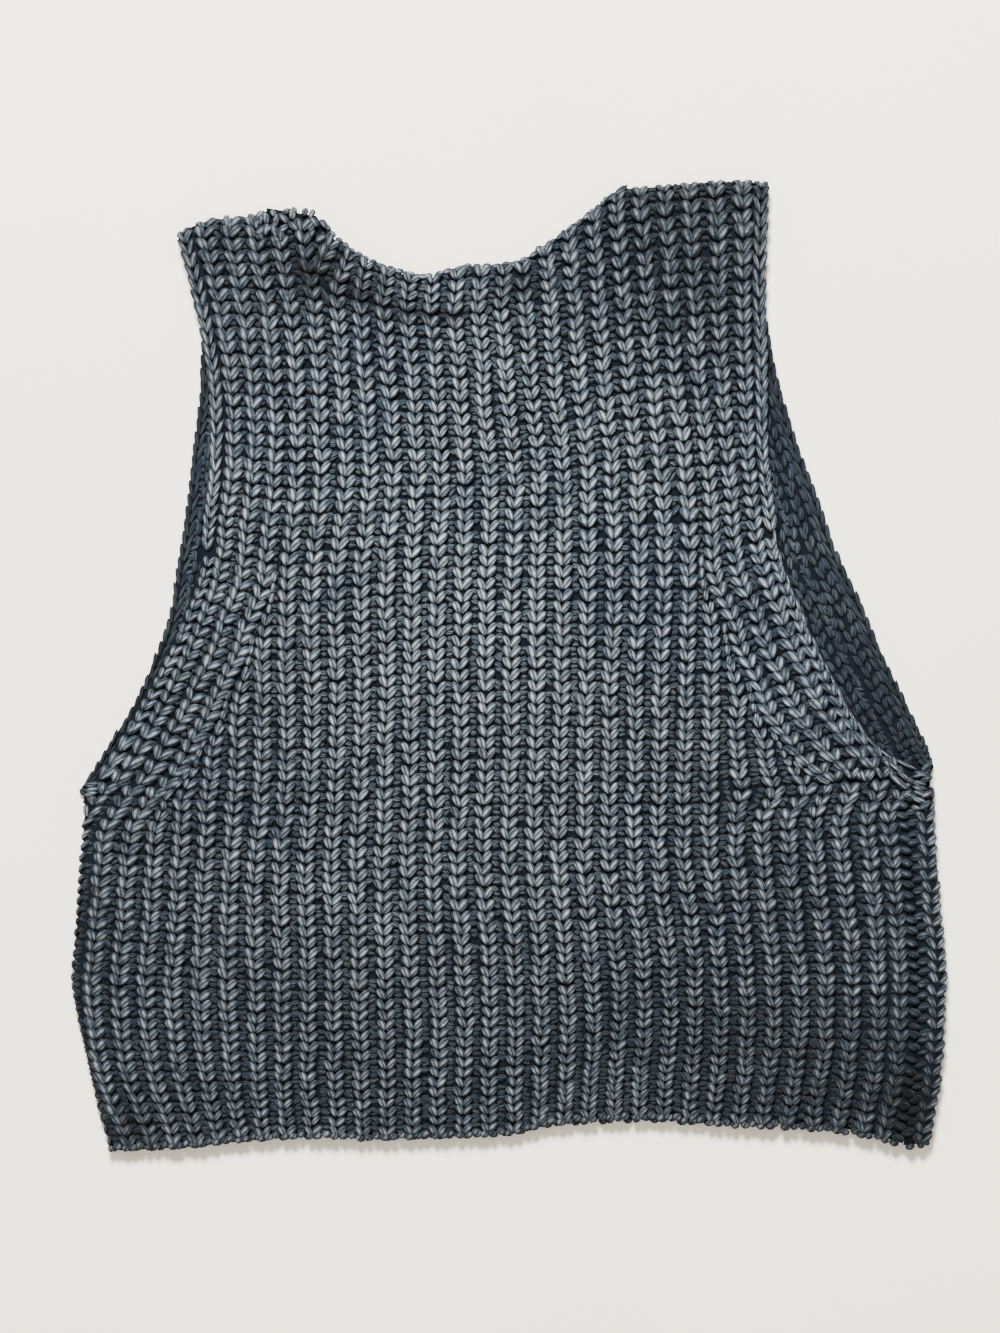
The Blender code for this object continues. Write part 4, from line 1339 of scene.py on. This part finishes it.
def sheetMaterial():
    material, tree = newMaterial("bleached_cotton_sheet")
    place = addNode(tree, "ShaderNodeTexCoord").outputs["Object"]
    patches = addNode(tree, "ShaderNodeTexNoise", inputs={
        "Vector": place, "Scale": 1 / (sheetLook["pressed"] * mm), "Detail": 2.0,
    }).outputs["Fac"]
    colour = addNode(tree, "ShaderNodeMix", {"data_type": "RGBA"},
                     {0: patches, 6: linear(sheetLook["colour"]), 7: linear(sheetLook["shade"])}).outputs[2]
    threads = addNode(tree, "ShaderNodeTexNoise", inputs={
        "Vector": place, "Scale": 1 / (sheetLook["threads"] * mm), "Detail": 2.0,
    }).outputs["Fac"]
    bump = addNode(tree, "ShaderNodeBump", inputs={
        "Strength": sheetLook["bump"], "Distance": sheetLook["threadDepth"] * mm, "Height": threads,
    }).outputs[0]
    shader = addNode(tree, "ShaderNodeBsdfPrincipled", inputs={
        "Base Color": colour, "Roughness": sheetLook["roughness"], "Normal": bump,
        "Specular IOR Level": sheetLook["specular"],
    }).outputs[0]
    addNode(tree, "ShaderNodeOutputMaterial", inputs={0: shader})
    return material


# The ground of each piece is a thin shell in the solid's form, under the stitches; it is drawn
# near black as painted shade between them
def shellMesh(name, outer, inner):   # closes two grids of points (rows, columns, 3)
    count = outer.shape[0] * outer.shape[1]
    index = np.arange(count).reshape(outer.shape[:2])

    def faces(grid, flip):
        a, b = grid[:-1, :-1].ravel(), grid[:-1, 1:].ravel()
        c, d = grid[1:, 1:].ravel(), grid[1:, :-1].ravel()
        tris = np.concatenate((np.stack((a, b, c), -1), np.stack((a, c, d), -1)))
        return tris[:, ::-1] if flip else tris

    def rim(line, flip):
        return faces(np.stack((line, line + count)), flip)

    parts = [faces(index, False), faces(index + count, True), rim(index[0], True), rim(index[-1], False),
             rim(index[:, 0], False), rim(index[:, -1], True)]
    points = np.concatenate((outer.reshape(-1, 3), inner.reshape(-1, 3)))
    return meshFrom(name, toMetres(points), np.concatenate(parts))


shells = {
    "back": (1.7, 0.3),       # heights of the two faces
    "front": (3.2, 2.3),
    "band": (1.7, 0.4),
    "columns": 133,
    "sideRows": (0, 1, 2, 4, 6, 8, 10, 12, 14, 16, 18, 20, 22, 24, 26, 27, 28, 29, 30, 31, 31.9),
    "armholeRows": (32.1, 57),
    "topRows": (56.9, 20),    # from here on so many, spread up to the neck seam
    "topFrom": 0.05,
    "shoulderRows": (0.5, 1.0, 1.5),   # and these go on past the fold of the shoulders
    "neckMore": 0.05,         # or hardly past the neck seam
    "selvedge": 0.82,         # wales past the side seams
    "turnFrom": 14.3,         # fuller on the side turns, where the stitches stand apart
    "turnOver": 1.5,
    "turnFuller": 0.8,
    "bandColumns": 91,
    "bandRows": 9,
    "bandInside": 0.05,       # wales inside the ends of the neck seam
    "bandFrom": -0.03,        # the band reaches from here, as a share of its depth
    "bandTo": (0.9, 0.98),    # to here, left and right
    "bandWider": 0.5,
}


def panelGrid(panel, height):
    across = np.linspace(wales["leftSeam"], wales["rightSeam"], shells["columns"])
    rows = [(across, np.full_like(across, course)) for course in shells["sideRows"]]
    aside = shells["selvedge"]
    free = np.linspace(wales["leftSeam"] - aside, wales["rightSeam"] + aside, shells["columns"])
    rows += [(free, np.full_like(free, course)) for course in np.arange(*shells["armholeRows"], 1.0)]
    tops = topCourse(panel, free)
    start, count = shells["topRows"]
    rows += [(free, mix(start, tops, share)) for share in np.linspace(shells["topFrom"], 1.0, count)]
    shoulder = (free <= wales["neckLeft"]) | (free >= wales["neckRight"])
    for extra in shells["shoulderRows"]:
        rows.append((free, tops + np.where(shoulder, extra, shells["neckMore"] * extra)))
    grids = []
    for wale, course in rows:
        turned = ease((np.abs(wale + 0.5) - shells["turnFrom"]) / shells["turnOver"])
        turned = turned * (course < courses["underarm"]) * (height == shells["back"][0])
        grids.append(clothPoint(panel, wale, course, height + shells["turnFuller"] * turned)[0])
    return np.stack(grids)


def makeShell(name, panel, node, material):
    outer, inner = (panelGrid(panel, height) for height in shells[node])
    if not panel["onTop"]:
        outer, inner = inner, outer
    return linkPiece(name, shellMesh(name, outer, inner), material, node)


def makeBandShell(name, material):   # along the back and along the front, joined over the shoulders
    aside = shells["bandInside"]
    across = np.linspace(wales["neckLeft"] + aside, wales["neckRight"] - aside, shells["bandColumns"])
    ends = mix(*shells["bandTo"], ease(across - shells["bandWider"]))
    shares = [mix(shells["bandFrom"], ends, step) for step in np.linspace(0, 1, shells["bandRows"])]
    outer, inner = (np.concatenate((
        np.stack([bandPoint(back, across, share, height)[0] for share in shares], axis=1),
        np.stack([bandPoint(front, across[::-1], share[::-1], height)[0] for share in shares], axis=1),
    )) for height in shells["band"])
    outer, inner = (np.concatenate((grid, grid[:1])) for grid in (outer, inner))
    return linkPiece(name, shellMesh(name, inner, outer), material, "neckband")


camera = {
    "centre": (-3.725, -2.15),   # the vest is in view from above, around this place in millimetres
    "height": 2.6,               # in metres
    "frame": 733.15,             # millimetres in view from top to bottom, at the level of the back
    "level": 8.0,
    "sensor": 24.0,
    "clipEnd": 20.0,
}
lights = {                       # places and sizes in metres, powers in watts
    "sky": {"colour": "#faf7f0", "strength": 0.95},
    "key": {"place": (-0.4, 2.3, 2.7), "size": 1.0, "power": 582.0},
    "fill": {"place": (0.3, -1.2, 2.0), "size": 2.2, "power": 15.0},
}


def makeCamera():
    data = bpy.data.cameras.new("camera")
    data.sensor_fit = "VERTICAL"
    data.sensor_height = camera["sensor"]
    away = camera["height"] / mm - camera["level"]
    data.lens = away * data.sensor_height / camera["frame"]
    data.clip_end = camera["clipEnd"]
    holder = bpy.data.objects.new("camera", data)
    holder.location = (camera["centre"][0] * mm, camera["centre"][1] * mm, camera["height"])
    bpy.context.scene.collection.objects.link(holder)
    bpy.context.scene.camera = holder


def makeLights():
    world = bpy.data.worlds.new("sky")
    world.use_nodes = True
    sky = world.node_tree.nodes["Background"]
    sky.inputs[0].default_value = linear(lights["sky"]["colour"])
    sky.inputs[1].default_value = lights["sky"]["strength"]
    bpy.context.scene.world = world
    for name in ("key", "fill"):
        spot = lights[name]
        data = bpy.data.lights.new(name, "AREA")
        data.shape = "DISK"
        data.size = spot["size"]
        data.energy = spot["power"]
        lamp = bpy.data.objects.new(name, data)
        lamp.location = spot["place"]
        lamp.rotation_euler = (-Vector(spot["place"])).to_track_quat("-Z", "Y").to_euler()
        bpy.context.scene.collection.objects.link(lamp)


def makeSheet():
    half, top = sheetLook["half"], sheetLook["top"]
    corners = [(-half, -half, top), (half, -half, top), (half, half, top), (-half, half, top)]
    mesh = bpy.data.meshes.new("sheet")
    mesh.from_pydata(corners, [], [(0, 1, 2, 3)])
    mesh.materials.append(sheetMaterial())
    floor = bpy.data.objects.new("sheet", mesh)
    bpy.context.scene.collection.objects.link(floor)


def makeStrands(name, node, batches, sides=6):
    mesh = strandMesh(name, batches, sides)
    print(name, "made of", sum(len(batch["path"]) for batch in batches), "strands and",
          len(mesh.polygons), "triangles")
    return linkPiece(name, mesh, cotton, node)


# Which wales and rows go into which piece
backParts = {"back_low": (0, 27), "back_middle": (27, 52), "back_high": (52, 99)}
selvedgeLegs = {"wales": (-17.78, 15.70), "rows": (33, 52)}     # along the low part of the armholes
chainRows = {"low": (32.4, 52), "high": (52.4, 78.6), "inside": (32.4, 78.6)}
armholeView = {"wales": (*range(-17, -11), *range(10, 16)), "rows": (31, 72)}   # front's inside
neckView = {"wales": range(-9, 4), "rows": (68, 99)}            # back's inside
bandWales = {"all": range(-9, 6), "straight": 1}   # from this one on they run straight up the band
turnedUp = {"from": 14, "aside": 0.1}       # here the front turns up over the right side

# How some of them differ
drawnAndShadedLook = {"tone": -0.12, "size": 0.92}   # beside the right side seam the knit is drawn in; its lower tone is painted shadow of the seam's groove
drawnAside = 0.2                            # by so much of a wale
hiddenLook = {"flat": 0.4, "outwards": 1.4, "wornAndLit": 0.7}   # pressed against the sheet
overLook = {"skewed": 0.0}
innerPurls = {"tone": -0.05}

makeCamera()
makeLights()
makeSheet()
print("camera, lights and sheet made")

rng = np.random.default_rng(stitches["seed"])
cotton = yarnMaterial()
knitGroundAndShade = groundMaterial()
backGround = makeShell("back_ground", back, "back", knitGroundAndShade)
frontGround = makeShell("front_ground", front, "front", knitGroundAndShade)
bandGround = makeBandShell("neckband_ground", knitGroundAndShade)
print("ground shells made")

backPlaces = stitchPlaces(back)
backValleys = backPlaces[backPlaces[:, 0] > wales["leftSeam"]]
inGroove = (backPlaces[:, 0] == wales["rightSeam"] - 1) & (backPlaces[:, 1] < courses["underarm"])
for name, (low, high) in backParts.items():
    shown = (backPlaces[:, 1] >= low) & (backPlaces[:, 1] < high)
    legs = laidLegs(layBack, backPlaces[shown & ~inGroove], rng)
    if name == "back_middle":
        rows = range(*selvedgeLegs["rows"])
        selvedge = np.array([(k, row) for k in selvedgeLegs["wales"] for row in rows])
        legs += laidLegs(layBack, selvedge, rng)
    if (shown & inGroove).any():
        drawn = backPlaces[shown & inGroove] - (drawnAside, 0.0)
        legs += laidLegs(layBack, drawn, rng, drawnAndShadedLook)
    makeStrands(name, "back", legs)
makeStrands("back_purls", "back", laidPurls(layBack, backValleys, rng), sides=4)
makeStrands("back_edges", "back", [
    laidStrokes(layBack, chainEnds(lowChain, *chainRows["low"], edges=(1,)), lowChain, rng),
    laidStrokes(layBack, chainEnds(chain, *chainRows["high"]), chain, rng),
    laidStrokes(layPlain, gatherEnds, gathers, rng),
    laidStrokes(layPlain, bridgeEnds(), bridges, rng),
    laidStrokes(layBack, markEnds(), marks, rng),
    laidStrokes(layPlain, corner["ends"], corner, rng),
    laidStrokes(layBack, knotEnds(), knots, rng),
])
inNeckline = stitchPlaces(back, neckView["wales"], *neckView["rows"])
makeStrands("back_inside", "back", laidLegs(layBackInside, inNeckline, rng), sides=5)

outside = stitchPlaces(front, range(wales["leftSeam"], turnedUp["from"]))
lastWales, underarm = range(turnedUp["from"], wales["rightSeam"]), int(courses["underarm"])
turnedHigh = stitchPlaces(front, lastWales, underarm)
turnedLow = stitchPlaces(front, lastWales, 0, underarm) - (turnedUp["aside"], 0.0)
inArmholes = stitchPlaces(front, armholeView["wales"], *armholeView["rows"])
frontPieces = [
    makeStrands("front_outside", "front", [
        *laidLegs(layFront, outside, rng, hiddenLook),
        *laidLegs(layFront, turnedHigh, rng, hiddenLook),
    ], sides=4),
    makeStrands("front_right_side", "front", [
        *laidLegs(layFrontOver, turnedLow, rng, overLook),
        *laidPurls(layFrontOver, turnedLow, rng),
    ]),
    makeStrands("front_inside", "front", [
        laidStrokes(layInside, innerEnds(), innerStrokes, rng),
        *laidPurls(layInside, inArmholes, rng, innerPurls),
    ], sides=5),
    makeStrands("front_edges", "front", [
        laidStrokes(layInside, chainEnds(insideChain, *chainRows["inside"]), insideChain, rng),
        laidStrokes(layFront, knotEnds(), knots, rng),
    ]),
]

bandPlaces = [(k, row) for k in bandWales["all"] for row in range(int(band["courses"]))]
bandPlaces = np.array(bandPlaces, dtype=float)
fromEnd = bandPlaces[:, 0] - wales["neckLeft"]   # its first wale is left out, and the next one's foot
leaning = bandPlaces[(bandPlaces[:, 0] < bandWales["straight"]) & (fromEnd > 0)
                     & ((fromEnd > 1) | (bandPlaces[:, 1] > 0))]
straight = straightPlaces()
straightValleys = straight[:-1][np.diff(straight[:, 0]) == 0]   # all but the last row of each wale
bandPieces = [makeStrands("neckband_stitches", "neckband", [
    *laidLegs(layBand, leaning, rng),
    *laidPurls(layBand, leaning, rng),
    *laidLegs(layBack, straight, rng),
    *laidPurls(layBack, straightValleys, rng),
    *laidLegs(layFrontBand, bandPlaces, rng),
    pickedUpLoops(rng),
    laidStrokes(layBand, bandEdgeEnds(), bandEdge, rng),
])]
